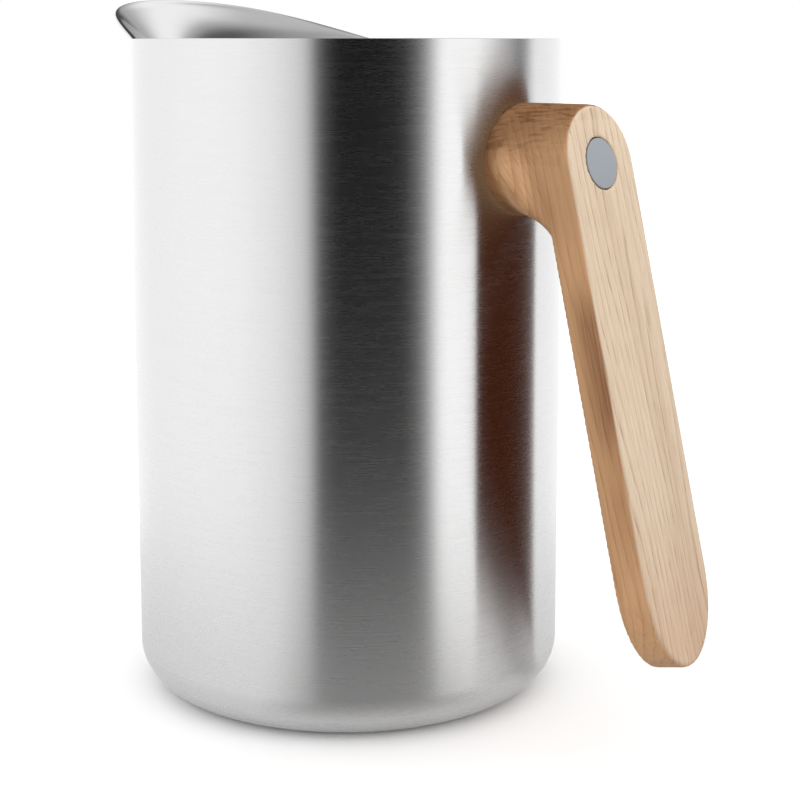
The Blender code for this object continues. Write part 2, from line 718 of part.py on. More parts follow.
def build_lid(lift):
    """Stopper body, foam, underside, gasket and hinge pin, carried by the empty that lifts."""
    skirt_inner = SKIRT_RADIUS - SKIRT_WALL
    deck_bottom = DECK_TOP - DECK_THICKNESS
    groove_radius = SKIRT_RADIUS - GROOVE_DEPTH
    flank = []
    for i in range(5):
        height = LID_TOP - 0.0008 + (0.1630 - LID_TOP + 0.0008) * i / 4
        flank.append((funnel_radius(height) - 1.6 * LID_GAP, height))
    body = [
        (0, DECK_TOP),
        (RECESS_RADIUS, DECK_TOP),
        (RECESS_RADIUS, LID_TOP - 0.0007),
        (RECESS_RADIUS + 0.0007, LID_TOP),
        (flank[0][0] - 0.0008, LID_TOP),
        *flank,
        (SKIRT_RADIUS, deck_bottom),
        (SKIRT_RADIUS, GROOVE_TOP),
        (groove_radius, GROOVE_TOP),
        (groove_radius, GROOVE_BOTTOM),
        (SKIRT_RADIUS, GROOVE_BOTTOM),
        (SKIRT_RADIUS, SKIRT_BOTTOM),
        (skirt_inner, SKIRT_BOTTOM),
        (skirt_inner, deck_bottom),
        (0, deck_bottom),
    ]
    body = turned("lid_body", body, BLACK_PLASTIC, LID_STEPS, closed=False)
    port = add_cutter("port", port_tube("port", PORT_RADIUS, LID_BOTTOM - 0.01, LID_TOP))
    notch = box_cutter(
        "pour_notch",
        (-0.060, -NOTCH_HALF_WIDTH, NOTCH_FLOOR),
        (NOTCH_START, NOTCH_HALF_WIDTH, LID_TOP + 0.01),
    )
    pin_bore = add_cutter("pin_bore", pin_mesh("pin_bore", PIN_BORE, 0.05))
    for cutter in (port, notch, pin_bore):
        combine(body, cutter, "DIFFERENCE")
    underside = [
        (0, SKIRT_BOTTOM - SEAM),
        (SKIRT_RADIUS, SKIRT_BOTTOM - SEAM),
        (SKIRT_RADIUS, LID_BOTTOM + 0.0006),
        (SKIRT_RADIUS - 0.0006, LID_BOTTOM),
        (0, LID_BOTTOM),
    ]
    underside = turned("lid_underside", underside, BLACK_PLASTIC, LID_STEPS, closed=False)
    duct = port_tube("duct", PORT_RADIUS + DUCT_WALL, LID_BOTTOM + 0.0005, deck_bottom - SEAM)
    combine(underside, add_cutter("duct", duct), "UNION")
    combine(underside, port, "DIFFERENCE")
    foam_radius = skirt_inner - SEAM
    foam = rod_mesh(
        "lid_insulation",
        foam_radius,
        (0, 0, SKIRT_BOTTOM + SEAM),
        (0, 0, deck_bottom - SEAM),
        LID_STEPS,
    )
    foam = add_part("lid_insulation", foam, FOAM)
    sleeve = port_tube("foam_bore", PORT_RADIUS + DUCT_WALL + SEAM, LID_BOTTOM, LID_TOP)
    combine(foam, add_cutter("foam_bore", sleeve), "DIFFERENCE")
    inner = groove_radius + SEAM
    lip = NECK_RADIUS - SEAM
    low, high = GROOVE_BOTTOM + SEAM, GROOVE_TOP - SEAM
    middle = (low + high) / 2
    valley = SKIRT_RADIUS + 0.0002
    gasket = [
        (SKIRT_RADIUS, high),
        (lip, high - 0.0006),
        (valley, middle + 0.0002),
        (valley, middle - 0.0002),
        (lip, low + 0.0006),
        (SKIRT_RADIUS, low),
        (inner, low),
        (inner, high),
    ]
    gasket = turned("lid_gasket", gasket, SILICONE, LID_STEPS)
    pin = add_part("hinge_pin", pin_mesh("hinge_pin", PIN_RADIUS, PIN_HALF_LENGTH), SATIN_STEEL)
    for piece in (body, underside, foam, gasket, pin):
        carry(piece, lift)


def build_flap(hinge):
    """Flip flap: a bored plate with a seat boss, its steel cover and its seal."""
    plate = [
        (0, FLAP_TOP),
        (FLAP_RADIUS - FLAP_EDGE, FLAP_TOP),
        (FLAP_RADIUS, FLAP_TOP - FLAP_EDGE),
        (FLAP_RADIUS, FLAP_BOTTOM + FLAP_EDGE),
        (FLAP_RADIUS - FLAP_EDGE, FLAP_BOTTOM),
        (0, FLAP_BOTTOM),
    ]
    plate = turned("flap_plate", plate, BLACK_PLASTIC, LID_STEPS, closed=False)
    boss = port_tube("seat_boss", SEAT_BOSS_RADIUS, SEAL_TOP + SEAM, FLAP_BOTTOM + 0.001)
    combine(plate, add_cutter("seat_boss", boss), "UNION")
    combine(plate, bpy.data.objects["pin_bore"], "DIFFERENCE")
    cover_bottom = FLAP_TOP + SEAM
    cover_top = cover_bottom + COVER_THICKNESS
    cover = [
        (0, cover_top),
        (COVER_RADIUS - 0.0004, cover_top),
        (COVER_RADIUS, cover_top - 0.0004),
        (COVER_RADIUS, cover_bottom),
        (0, cover_bottom),
    ]
    cover = turned("flap_cover", cover, BRUSHED_STEEL, LID_STEPS, closed=False)
    seat = DECK_TOP + SEAM
    seal = [
        (SEAL_OUTER, SEAL_TOP),
        (SEAL_OUTER, SEAL_TOP - 0.0010),
        (SEAL_OUTER - 0.0007, seat),
        (SEAL_INNER + 0.0007, seat),
        (SEAL_INNER, SEAL_TOP - 0.0010),
        (SEAL_INNER, SEAL_TOP),
    ]
    seal = turned("flap_seal", seal, SILICONE, FLASK_STEPS)
    seal.location.x = PORT_OFFSET
    for piece in (plate, cover, seal):
        carry(piece, hinge)


def main():
    """Build the jug from the base upwards, then its handle and its lid."""
    build_outer_shell()
    build_base()
    build_inner_flask()
    build_getter()
    build_pouring_collar()
    build_handle()
    build_handle_fixing()
    lift = carrier("lid_lift", (0, 0, LID_TOP))
    hinge = carrier("flap_hinge", (HINGE_X, 0, HINGE_Z), lift)
    build_lid(lift)
    build_flap(hinge)


main()
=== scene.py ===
"""Visual model of an insulated jug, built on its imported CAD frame.

Units are metres and +Z is up. The handle points along +X and the pouring lip along -X.
"""

import logging
import math
from dataclasses import dataclass, field
from enum import Enum
from typing import Any, Iterable, Sequence

import bmesh
import bpy
from mathutils import Matrix, Vector


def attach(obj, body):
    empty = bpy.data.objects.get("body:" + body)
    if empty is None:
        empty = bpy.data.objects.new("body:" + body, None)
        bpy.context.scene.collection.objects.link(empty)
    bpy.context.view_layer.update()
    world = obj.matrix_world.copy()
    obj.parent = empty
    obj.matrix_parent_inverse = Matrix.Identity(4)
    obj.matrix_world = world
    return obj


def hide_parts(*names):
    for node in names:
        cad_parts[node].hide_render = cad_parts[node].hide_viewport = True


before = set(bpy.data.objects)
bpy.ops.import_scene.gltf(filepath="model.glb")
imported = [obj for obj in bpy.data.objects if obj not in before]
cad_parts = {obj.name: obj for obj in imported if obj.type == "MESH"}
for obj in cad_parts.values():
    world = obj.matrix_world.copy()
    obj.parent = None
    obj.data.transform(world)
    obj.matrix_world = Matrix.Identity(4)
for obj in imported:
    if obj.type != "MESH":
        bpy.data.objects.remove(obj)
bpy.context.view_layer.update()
LOG = logging.getLogger("insulated_jug")

# Points closer than this are one point, in a new mesh and in a copy of the CAD
MERGE = 1e-6
CAD_MERGE = 2e-6

# The lid and the flap share the pouring port's axis and the hinge pin's bore
PORT_X = -0.0120
HINGE = Vector((0.0340, 0.0, 0.1672))
BORE_RADIUS = 0.0015

# Angle in degrees past which an edge of a carved moulding is drawn sharp
CARVED_CREASE = 32.0

Colour = tuple[float, float, float]
Point = tuple[float, float, float]
Mesh = bmesh.types.BMesh
Socket = bpy.types.NodeSocket


class Body(Enum):
    """The bodies of the jug that move apart."""

    JUG = "jug"
    LID = "lid"
    FLAP = "flap"


class Slot(Enum):
    """The record's material slots."""

    BRUSHED_STEEL = "brushed_steel"
    SATIN_STEEL = "satin_steel"
    SOLDER = "solder"
    OAK = "oak"
    GREY_PLASTIC = "grey_plastic"
    BLACK_PLASTIC = "black_plastic"
    SILICONE = "silicone"
    FOAM = "foam"


class Bench:
    """Adds nodes to one node tree and links them."""

    def __init__(self, tree: bpy.types.NodeTree) -> None:
        """Keep the tree that the nodes go into."""
        self.tree = tree

    def put(self, socket: Socket, value: Any) -> None:
        """Link a socket to another one, or set its own value.

        Args:
            socket: The input socket.
            value: An output socket, a number, or a colour or vector as a tuple.
        """
        if isinstance(value, bpy.types.NodeSocket):
            self.tree.links.new(value, socket)
        elif socket.type == "RGBA":
            socket.default_value = (*value[:3], 1.0)
        else:
            socket.default_value = value

    def add(
        self, kind: str, inputs: dict[Any, Any] | None = None, **settings: Any
    ) -> bpy.types.Node:
        """Add a node.

        Args:
            kind: The node's type name.
            inputs: Values or sockets for its inputs, by name or number.
            settings: Properties of the node itself.

        Returns:
            The new node.
        """
        node = self.tree.nodes.new(kind)
        for key, value in settings.items():
            setattr(node, key, value)
        for key, value in (inputs or {}).items():
            self.put(node.inputs[key], value)
        return node

    def maths(self, operation: str, *values: Any) -> Socket:
        """Add a Math node over numbers or sockets and return its result."""
        return self.add("ShaderNodeMath", dict(enumerate(values)), operation=operation).outputs[0]

    def product(self, first: Any, *others: Any) -> Socket:
        """Multiply numbers or sockets, of which one at least is a socket.

        Args:
            first: The first factor.
            others: The others, in order.

        Returns:
            The product.
        """
        for other in others:
            first = self.maths("MULTIPLY", first, other)
        return first

    def remainder(self, share: Any) -> Socket:
        """Give what a share leaves of 1."""
        return self.maths("SUBTRACT", 1.0, share)

    def ranged(
        self, value: Any, low: float, high: float, to_low: float, to_high: float
    ) -> Socket:
        """Map a value smoothly from one range to another, clamped at both ends."""
        inputs = {0: value, 1: low, 2: high, 3: to_low, 4: to_high}
        return self.add("ShaderNodeMapRange", inputs, interpolation_type="SMOOTHSTEP").outputs[0]

    def swept(
        self, angle: Any, low: float, high: float, to_low: float, to_high: float
    ) -> Socket:
        """Map an angle in radians from a range in degrees, as ranged does."""
        return self.ranged(angle, math.radians(low), math.radians(high), to_low, to_high)

    def blend(self, factor: Any, first: Any, second: Any, how: str = "MIX") -> Socket:
        """Blend two colours by a factor and return the colour."""
        inputs = {0: factor, 6: first, 7: second}
        return self.add("ShaderNodeMix", inputs, data_type="RGBA", blend_type=how).outputs[2]

    def vector(self, operation: str, inputs: dict[Any, Any]) -> Socket:
        """Add a Vector Math node and return its vector."""
        return self.add("ShaderNodeVectorMath", inputs, operation=operation).outputs[0]

    def dot(self, vector: Any, axis: Sequence[float]) -> Socket:
        """Measure a vector along an axis."""
        inputs = {0: vector, 1: tuple(axis)}
        return self.add("ShaderNodeVectorMath", inputs, operation="DOT_PRODUCT").outputs["Value"]

    def length(self, vector: Any) -> Socket:
        """Measure a vector."""
        return self.add("ShaderNodeVectorMath", {0: vector}, operation="LENGTH").outputs["Value"]

    def noise(self, vector: Any, scale: Any, detail: float, roughness: float = 0.5) -> Socket:
        """Add a noise pattern and return its value."""
        inputs = {"Vector": vector, "Scale": scale, "Detail": detail, "Roughness": roughness}
        return self.add("ShaderNodeTexNoise", inputs).outputs[0]

    def ramp(self, factor: Any, stops: Iterable[tuple[float, Colour]]) -> Socket:
        """Add a colour ramp.

        Args:
            factor: The place on the ramp, from 0 to 1.
            stops: Places with their colours, in rising order.

        Returns:
            The ramp's colour.
        """
        node = self.add("ShaderNodeValToRGB", {0: factor})
        stops = list(stops)
        elements = node.color_ramp.elements
        while len(elements) < len(stops):
            elements.new(1.0)
        for element, (place, colour) in zip(elements, stops):
            element.position = place
            element.color = (*colour, 1.0)
        return node.outputs[0]

    def stretched(self, vector: Any, scale: Sequence[float]) -> Socket:
        """Scale a coordinate along its axes."""
        inputs = {"Vector": vector, "Scale": tuple(scale)}
        return self.add("ShaderNodeMapping", inputs).outputs[0]

    def coordinates(self) -> Socket:
        """Give the piece's own Object coordinates."""
        return self.add("ShaderNodeTexCoord").outputs["Object"]

    def group(self, tree: bpy.types.NodeTree, inputs: dict[str, Any]) -> bpy.types.Node:
        """Place a shared node group with its own values."""
        return self.add("ShaderNodeGroup", inputs, node_tree=tree)

    def bump(self, height: Any, strength: float, distance: float) -> Socket:
        """Turn a height into a normal."""
        inputs = {"Height": height, "Strength": strength, "Distance": distance}
        return self.add("ShaderNodeBump", inputs).outputs[0]


class SharedPattern(Enum):
    """Patterns that several finishes share, each a node group built once."""

    STREAKS = "long_streaks"
    TOOTH = "fine_tooth"

    def tree(self) -> bpy.types.NodeTree:
        """Give the pattern's node group, built when it is first asked for."""
        found = bpy.data.node_groups.get(self.value)
        return found or (self._streaks() if self is SharedPattern.STREAKS else self._tooth())

    def _started(
        self, inputs: Sequence[str], outputs: Sequence[str]
    ) -> tuple[Bench, bpy.types.Node, bpy.types.Node]:
        """Start an empty group.

        Args:
            inputs: Names of its number inputs, besides its Vector.
            outputs: Names of its number outputs.

        Returns:
            The bench of the group, its input node and its output node.
        """
        tree = bpy.data.node_groups.new(self.value, "ShaderNodeTree")
        tree.interface.new_socket("Vector", in_out="INPUT", socket_type="NodeSocketVector")
        for name in inputs:
            tree.interface.new_socket(name, in_out="INPUT", socket_type="NodeSocketFloat")
        for name in outputs:
            tree.interface.new_socket(name, in_out="OUTPUT", socket_type="NodeSocketFloat")
        bench = Bench(tree)
        return bench, bench.add("NodeGroupInput"), bench.add("NodeGroupOutput")

    def _streaks(self) -> bpy.types.NodeTree:
        """Build brushing with long streaks round the Z axis, fine in height and in radius.

        Returns:
            The group, which puts out the streaks and a broad drift.
        """
        bench, given, result = self._started(("Along", "Across"), ("Streak", "Drift"))
        place = given.outputs["Vector"]
        flat = bench.stretched(place, (1.0, 1.0, 0.0))
        around = bench.vector("NORMALIZE", {0: flat})
        rise = bench.maths("ADD", bench.dot(place, (0.0, 0.0, 1.0)), bench.length(flat))
        streak: Any = 0.0
        for fineness, weight in ((1.0, 0.55), (0.31, 0.45)):
            along = bench.maths("DIVIDE", given.outputs["Along"], fineness)
            along = bench.vector("SCALE", {0: around, "Scale": along})
            across = bench.product(given.outputs["Across"], fineness, rise)
            across = bench.add("ShaderNodeCombineXYZ", {2: across}).outputs[0]
            layer = bench.noise(bench.vector("ADD", {0: along, 1: across}), 1.0, 1.0, 0.6)
            streak = bench.maths("MULTIPLY_ADD", layer, weight, streak)
        bench.put(result.inputs["Streak"], bench.ranged(streak, 0.3, 0.7, 0.0, 1.0))
        bench.put(result.inputs["Drift"], bench.noise(place, 28.0, 2.0))
        return bench.tree

    def _tooth(self) -> bpy.types.NodeTree:
        """Build a fine moulded tooth.

        Returns:
            The group, which puts out the tooth and a broad, faint drift.
        """
        bench, given, result = self._started(("Scale",), ("Tooth", "Drift"))
        place, scale = given.outputs["Vector"], given.outputs["Scale"]
        inputs = {"Vector": place, "Scale": scale}
        fine = bench.add("ShaderNodeTexVoronoi", inputs, feature="SMOOTH_F1").outputs[0]
        cloud = bench.noise(place, bench.product(scale, 1.7), 3.0)
        tooth = bench.maths("MULTIPLY_ADD", cloud, 0.5, bench.product(fine, 0.7))
        bench.put(result.inputs["Tooth"], tooth)
        bench.put(result.inputs["Drift"], bench.noise(place, 45.0, 3.0))
        return bench.tree


@dataclass(frozen=True, kw_only=True)
class Finish:
    """A finish that gives a procedural material.

    Attributes:
        slot: The record's slot that the finish belongs to.
        metallic: How much of a metal it is.
        specular: Strength of its clear reflections.
    """

    slot: Slot
    metallic: float = 0.0
    specular: float = 0.5

    @property
    def name(self) -> str:
        """Give the material's name."""
        return f"{self.slot.value}_finish"

    def material(self) -> bpy.types.Material:
        """Give the finish's material, built when it is first asked for.

        Returns:
            The material.
        """
        found = bpy.data.materials.get(self.name)
        if found:
            return found
        material = bpy.data.materials.new(self.name)
        material.use_nodes = True
        shader = material.node_tree.nodes["Principled BSDF"]
        shader.inputs["Metallic"].default_value = self.metallic
        shader.inputs["Specular IOR Level"].default_value = self.specular
        self.pattern(Bench(material.node_tree), shader)
        return material

    def pattern(self, bench: Bench, shader: bpy.types.Node) -> None:
        """Add what changes over the surface."""
        raise NotImplementedError


@dataclass(frozen=True, kw_only=True)
class Steel(Finish):
    """Stainless steel, brushed round the Z axis or satin all over.

    Attributes:
        dark: Colour where the tone drifts low.
        light: Colour where it drifts high.
        smooth: Roughness between the streaks.
        rough: Roughness in them.
        anisotropy: How far the brushing draws reflections out across itself.
        along: Streaks in a radian round the Z axis.
        across: Streaks in a metre of height or radius.
    """

    dark: Colour
    light: Colour
    smooth: float
    rough: float
    anisotropy: float = 0.0
    along: float
    across: float
    metallic: float = 1.0

    def pattern(self, bench: Bench, shader: bpy.types.Node) -> None:
        """Drift the colour, streak the roughness and turn highlights across the brushing.

        Args:
            bench: The material's bench.
            shader: The material's shader.
        """
        inputs = {"Vector": bench.coordinates(), "Along": self.along, "Across": self.across}
        streaks = bench.group(SharedPattern.STREAKS.tree(), inputs)
        streak, drift = streaks.outputs["Streak"], streaks.outputs["Drift"]
        bench.put(shader.inputs["Base Color"], bench.blend(drift, self.dark, self.light))
        roughness = bench.ranged(streak, 0.0, 1.0, self.rough, self.smooth)
        bench.put(shader.inputs["Roughness"], roughness)
        if self.anisotropy:
            shader.inputs["Anisotropic"].default_value = self.anisotropy
            shader.inputs["Anisotropic Rotation"].default_value = 0.25
            tangent = bench.add("ShaderNodeTangent", direction_type="RADIAL", axis="Z")
            bench.put(shader.inputs["Tangent"], tangent.outputs[0])


@dataclass(frozen=True, kw_only=True)
class Moulded(Finish):
    """A moulded or cast material with a fine tooth: plastic, silicone, foam or solder.

    Attributes:
        colour: Its main colour.
        worn: Its colour where the tone drifts.
        roughness: Roughness in the hollows of the tooth.
        polish: How much smoother the tops of the tooth are.
        scale: Grains in a metre.
        relief: Strength of the tooth's bump.
        depth: Height of the tooth in metres.
    """

    colour: Colour
    worn: Colour
    roughness: float
    polish: float
    scale: float
    relief: float
    depth: float = 0.00005

    def pattern(self, bench: Bench, shader: bpy.types.Node) -> None:
        """Drift the colour, and give the tooth its gloss and its bump.

        Args:
            bench: The material's bench.
            shader: The material's shader.
        """
        inputs = {"Vector": bench.coordinates(), "Scale": self.scale}
        tooth = bench.group(SharedPattern.TOOTH.tree(), inputs)
        grain, drift = tooth.outputs["Tooth"], tooth.outputs["Drift"]
        bench.put(shader.inputs["Base Color"], bench.blend(drift, self.colour, self.worn))
        gloss = bench.ranged(grain, 0.2, 0.8, self.roughness, self.roughness - self.polish)
        bench.put(shader.inputs["Roughness"], gloss)
        bench.put(shader.inputs["Normal"], bench.bump(grain, self.relief, self.depth))


@dataclass(frozen=True, kw_only=True)
class OiledOak(Finish):
    """Oiled oak whose grain runs down the leg, a little aslant.

    Depths are negative lengths, measured inwards from the outer face. Places along the leg are
    measured upwards from the boss's axis. Every tint is a colour that the wood is multiplied by.

    Attributes:
        head: Point of the handle that the grain is measured from.
        tilt: Lean of the leg, in radians.
        pale: Colour of the planed outer face.
        warm: Colour of the sides and the boss.
        ring: Mean distance between growth rings.
        slant: Drift of the rings sideways for each metre down the leg.
        plunge: Drift of the rings sideways for each metre of depth.
        bulge: Half the curvature of the rings across the boss.
        bulge_depth: Depth that the rings curve round.
        bulge_core: Distance from there past which they run straight.
        shear: How far the grain leans in the boss.
        pore_tint: Tint of the pore lines.
        fibre_tint: Tint of the dark fibres.
        blotch_tint: Tint of the broad patches.
        band_tint: Tint of the early wood in each ring.
        end_tint: Tint of the cut ends of the grain.
        check_tint: Tint of the fine cracks in those ends.
        painted_root_shade: Painted shade on the boss beside the body, where the body shades it.
        heart: Depth and place along the leg of the light oval on the boss's side.
        heart_size: Half-sizes of that oval, inwards and along the leg.
        heart_tint: Its tint.
        boss_tint: Tint of the boss's sides.
        stain_tint: Tint of the dark patch on the leg's sides.
        low_side_painted_light: Painted light on the sides towards the tip, where less light
            reaches.
        low_face_tint: Tint of the outer face towards the tip.
    """

    head: Point
    tilt: float
    pale: Colour = (0.88, 0.72, 0.545)
    warm: Colour = (0.80, 0.468, 0.242)
    ring: float = 0.0026
    slant: float = 0.06
    plunge: float = 0.30
    bulge: float = 95.0
    bulge_depth: float = -0.0170
    bulge_core: float = 0.0045
    shear: float = 0.45
    pore_tint: Colour = (0.38, 0.26, 0.18)
    fibre_tint: Colour = (0.78, 0.68, 0.58)
    blotch_tint: Colour = (0.70, 0.58, 0.50)
    band_tint: Colour = (0.72, 0.58, 0.47)
    end_tint: Colour = (0.56, 0.52, 0.48)
    check_tint: Colour = (0.55, 0.42, 0.33)
    painted_root_shade: Colour = (0.50, 0.42, 0.34)
    heart: tuple[float, float] = (-0.0172, -0.0010)
    heart_size: tuple[float, float] = (0.0060, 0.0095)
    heart_tint: Colour = (1.32, 1.37, 1.42)
    boss_tint: Colour = (0.89, 0.875, 0.875)
    stain_tint: Colour = (0.44, 0.34, 0.29)
    low_side_painted_light: Colour = (1.22, 1.24, 1.27)
    low_face_tint: Colour = (0.90, 0.81, 0.76)

    def pattern(self, bench: Bench, shader: bpy.types.Node) -> None:
        """Lay out the rings, pores and fibres in the leg's own directions, then tint the wood.

        Args:
            bench: The material's bench.
            shader: The material's shader.
        """
        place = self.place(bench)
        depth, along = bench.dot(place, (1.0, 0.0, 0.0)), bench.dot(place, (0.0, 0.0, 1.0))
        face = bench.ranged(depth, -0.0007, -0.0002, 0.0, 1.0)
        sides = bench.remainder(face)
        boss = bench.ranged(depth, -0.012, -0.006, 1.0, 0.0)
        boss = bench.product(boss, bench.ranged(along, -0.035, -0.012, 0.0, 1.0))
        sheared = bench.product(along, self.shear, boss)
        sheared = bench.add("ShaderNodeCombineXYZ", {"X": sheared}).outputs[0]
        grain = bench.vector("ADD", {0: place, 1: sheared})
        fibres = bench.noise(bench.stretched(grain, (1500.0, 1500.0, 26.0)), 1.0, 3.0, 0.65)
        patches = bench.noise(bench.stretched(grain, (70.0, 90.0, 17.0)), 1.0, 3.0)
        rings = self.rings(bench, place, depth)
        ends = self.end_grain(bench, along, sides)
        pores = self.pore_lines(bench, rings, grain, patches, boss)
        pores = bench.product(
            pores, bench.ranged(face, 0.0, 1.0, 0.6, 1.0), bench.ranged(ends, 0.0, 1.0, 1.0, 0.3)
        )
        blotches = bench.ranged(patches, 0.46, 0.72, 0.0, 1.0)
        bands = bench.maths("MULTIPLY_ADD", boss, 0.3, bench.ranged(face, 0.0, 1.0, 0.18, 0.14))
        early = bench.maths("POWER", bench.remainder(rings), 1.6)
        upper = bench.ranged(along, -0.022, -0.009, 0.0, 1.0)
        tints = (
            (bench.ranged(fibres, 0.25, 0.75, 0.40, 0.0), self.fibre_tint),
            (bench.product(blotches, bench.ranged(face, 0.0, 1.0, 0.75, 0.25)), self.blotch_tint),
            (bench.product(bands, early), self.band_tint),
            (pores, self.pore_tint),
            (ends, self.end_tint),
            (self.checks(bench, place, ends), self.check_tint),
            # Painted shade on the boss beside the body
            (bench.ranged(depth, -0.0240, -0.0195, 0.9, 0.0), self.painted_root_shade),
            (self.oval(bench, depth, along), self.heart_tint),
            (bench.product(upper, sides), self.boss_tint),
            (bench.product(self.stain(bench, depth, along, fibres), sides), self.stain_tint),
            # Towards the tip: painted light brightens the sides; the outer face darkens
            (
                bench.ranged(along, -0.120, -0.080, 1.0, 0.0),
                bench.blend(face, self.low_side_painted_light, self.low_face_tint),
            ),
        )
        wood = bench.blend(face, self.warm, self.pale)
        for mask, tint in tints:
            wood = bench.blend(mask, wood, tint, "MULTIPLY")
        bench.put(shader.inputs["Base Color"], wood)
        bench.put(shader.inputs["Roughness"], bench.ranged(pores, 0.0, 1.0, 0.48, 0.66))
        height = bench.maths("SUBTRACT", bench.product(fibres, 0.3), pores)
        bench.put(shader.inputs["Normal"], bench.bump(height, 0.3, 0.00006))

    def place(self, bench: Bench) -> Socket:
        """Give a point as its depth, its place across the leg and its place along it.

        Args:
            bench: The material's bench.

        Returns:
            The point.
        """
        shift = -(Matrix.Rotation(self.tilt, 4, "Y") @ Vector(self.head))
        inputs = {
            "Vector": bench.coordinates(),
            "Rotation": (0.0, self.tilt, 0.0),
            "Location": tuple(shift),
        }
        return bench.add("ShaderNodeMapping", inputs).outputs[0]

    def rings(self, bench: Bench, place: Socket, depth: Socket) -> Socket:
        """Measure how far a point lies through its growth ring, from 0 to 1.

        Args:
            bench: The material's bench.
            place: The point, in the leg's own directions.
            depth: Its depth.

        Returns:
            The share of the ring.
        """
        across = bench.dot(place, (self.plunge, 1.0, self.slant))
        inward = bench.maths("ABSOLUTE", bench.maths("SUBTRACT", depth, self.bulge_depth))
        core = bench.maths("MINIMUM", inward, self.bulge_core)
        straight = bench.maths("MULTIPLY_ADD", inward, 2.0, bench.product(core, -1.0))
        across = bench.maths("MULTIPLY_ADD", bench.product(core, straight), self.bulge, across)
        wavers = (
            ((30.0, 30.0, 6.0), 0.0140),
            ((80.0, 80.0, 12.0), 0.0050),
            ((260.0, 260.0, 6.0), 0.0030),
        )
        for scale, amount in wavers:
            waver = bench.noise(bench.stretched(place, scale), 1.0, 1.0)
            waver = bench.maths("SUBTRACT", waver, 0.5)
            across = bench.maths("MULTIPLY_ADD", waver, amount, across)
        across = bench.maths("ADD", across, 0.5)
        return bench.maths("FRACT", bench.maths("DIVIDE", across, self.ring))

    def pore_lines(
        self, bench: Bench, rings: Socket, grain: Socket, patches: Socket, boss: Socket
    ) -> Socket:
        """Draw rows of open pores at the start of each ring, with a few strays between them.

        Args:
            bench: The material's bench.
            rings: Share of the ring.
            grain: The point, along the grain.
            patches: Slow drift that strengthens and weakens the rows.
            boss: Mask of the boss, where the strays are darker.

        Returns:
            The darkness of the pores, from 0 to 1.
        """
        pores = bench.noise(bench.stretched(grain, (2600.0, 2600.0, 120.0)), 1.0, 2.0, 0.6)
        pores = bench.ranged(pores, 0.46, 0.60, 0.0, 1.0)
        rows = bench.product(
            bench.maths("POWER", bench.remainder(rings), 6.5),
            bench.ranged(rings, 0.0, 0.06, 0.0, 1.0),
            bench.maths("MULTIPLY_ADD", pores, 0.75, 0.25),
            bench.ranged(patches, 0.30, 0.52, 0.25, 1.0),
        )
        stray = bench.maths("MULTIPLY_ADD", boss, 0.22, 0.16)
        strays = bench.product(bench.ranged(pores, 0.7, 1.0, 0.0, 1.0), stray)
        return bench.maths("MAXIMUM", rows, strays)

    def end_grain(self, bench: Bench, along: Socket, sides: Socket) -> Socket:
        """Mask the boss's top and the tip's underside, where oil darkens the cut ends of the grain.

        Args:
            bench: The material's bench.
            along: Place along the leg.
            sides: Mask of all but the outer face.

        Returns:
            The mask.
        """
        top = bench.ranged(along, 0.002, 0.0135, 0.0, 1.0)
        tip = bench.ranged(along, -0.1230, -0.118, 0.6, 0.0)
        return bench.product(bench.maths("ADD", top, tip), sides)

    def checks(self, bench: Bench, place: Socket, ends: Socket) -> Socket:
        """Mask the short cracks in the cut ends, drawn out along the boss."""
        checks = bench.noise(bench.stretched(place, (110.0, 800.0, 800.0)), 1.0, 2.0)
        return bench.product(bench.ranged(checks, 0.50, 0.64, 0.0, 0.7), ends)

    def oval(self, bench: Bench, depth: Socket, along: Socket) -> Socket:
        """Mask the light oval where the rings are cut flat on the boss's side.

        Args:
            bench: The material's bench.
            depth: Depth of the point.
            along: Its place along the leg.

        Returns:
            The mask.
        """
        inward, upward = (
            bench.maths("DIVIDE", bench.maths("SUBTRACT", place, middle), half)
            for place, middle, half in zip((depth, along), self.heart, self.heart_size)
        )
        away = bench.maths("MULTIPLY_ADD", inward, inward, bench.product(upward, upward))
        return bench.ranged(away, 0.3, 1.3, 1.0, 0.0)

    def stain(self, bench: Bench, depth: Socket, along: Socket, fibres: Socket) -> Socket:
        """Mask the dark patch part way down the leg, beside the outer face.

        Args:
            bench: The material's bench.
            depth: Depth of the point.
            along: Its place along the leg.
            fibres: Fibres that streak the patch.

        Returns:
            The mask.
        """
        return bench.product(
            bench.ranged(depth, -0.0085, -0.0030, 0.0, 1.0),
            bench.ranged(along, -0.074, -0.056, 0.0, 1.0),
            bench.ranged(along, -0.024, -0.038, 0.0, 1.0),
            bench.ranged(fibres, 0.35, 0.65, 0.45, 1.0),
        )


@dataclass(frozen=True)
class Corner:
    """A corner of a turned profile.

    Attributes:
        radius: Distance from the axis.
        height: Height along the axis.
        rounding: Radius that the corner is rounded with, or 0.
        segments: Facets of the rounding.
    """

    radius: float
    height: float
    rounding: float = 0.0
    segments: int = 4


def disc(
    radius: float,
    top: float,
    bottom: float,
    upper: tuple[float, int] = (0.0, 0),
    lower: tuple[float, int] = (0.0, 0),
) -> list[Corner]:
    """List the profile of a flat disc or a pin.

    Args:
        radius: Its radius.
        top: Height of its upper face.
        bottom: Height of its lower face.
        upper: Rounding of the upper edge, and its facets.
        lower: The same for the lower edge.

    Returns:
        The corners, from the middle of the top to the middle of the bottom.
    """
    edges = [Corner(radius, top, *upper), Corner(radius, bottom, *lower)]
    return [Corner(0.0, top), *edges, Corner(0.0, bottom)]


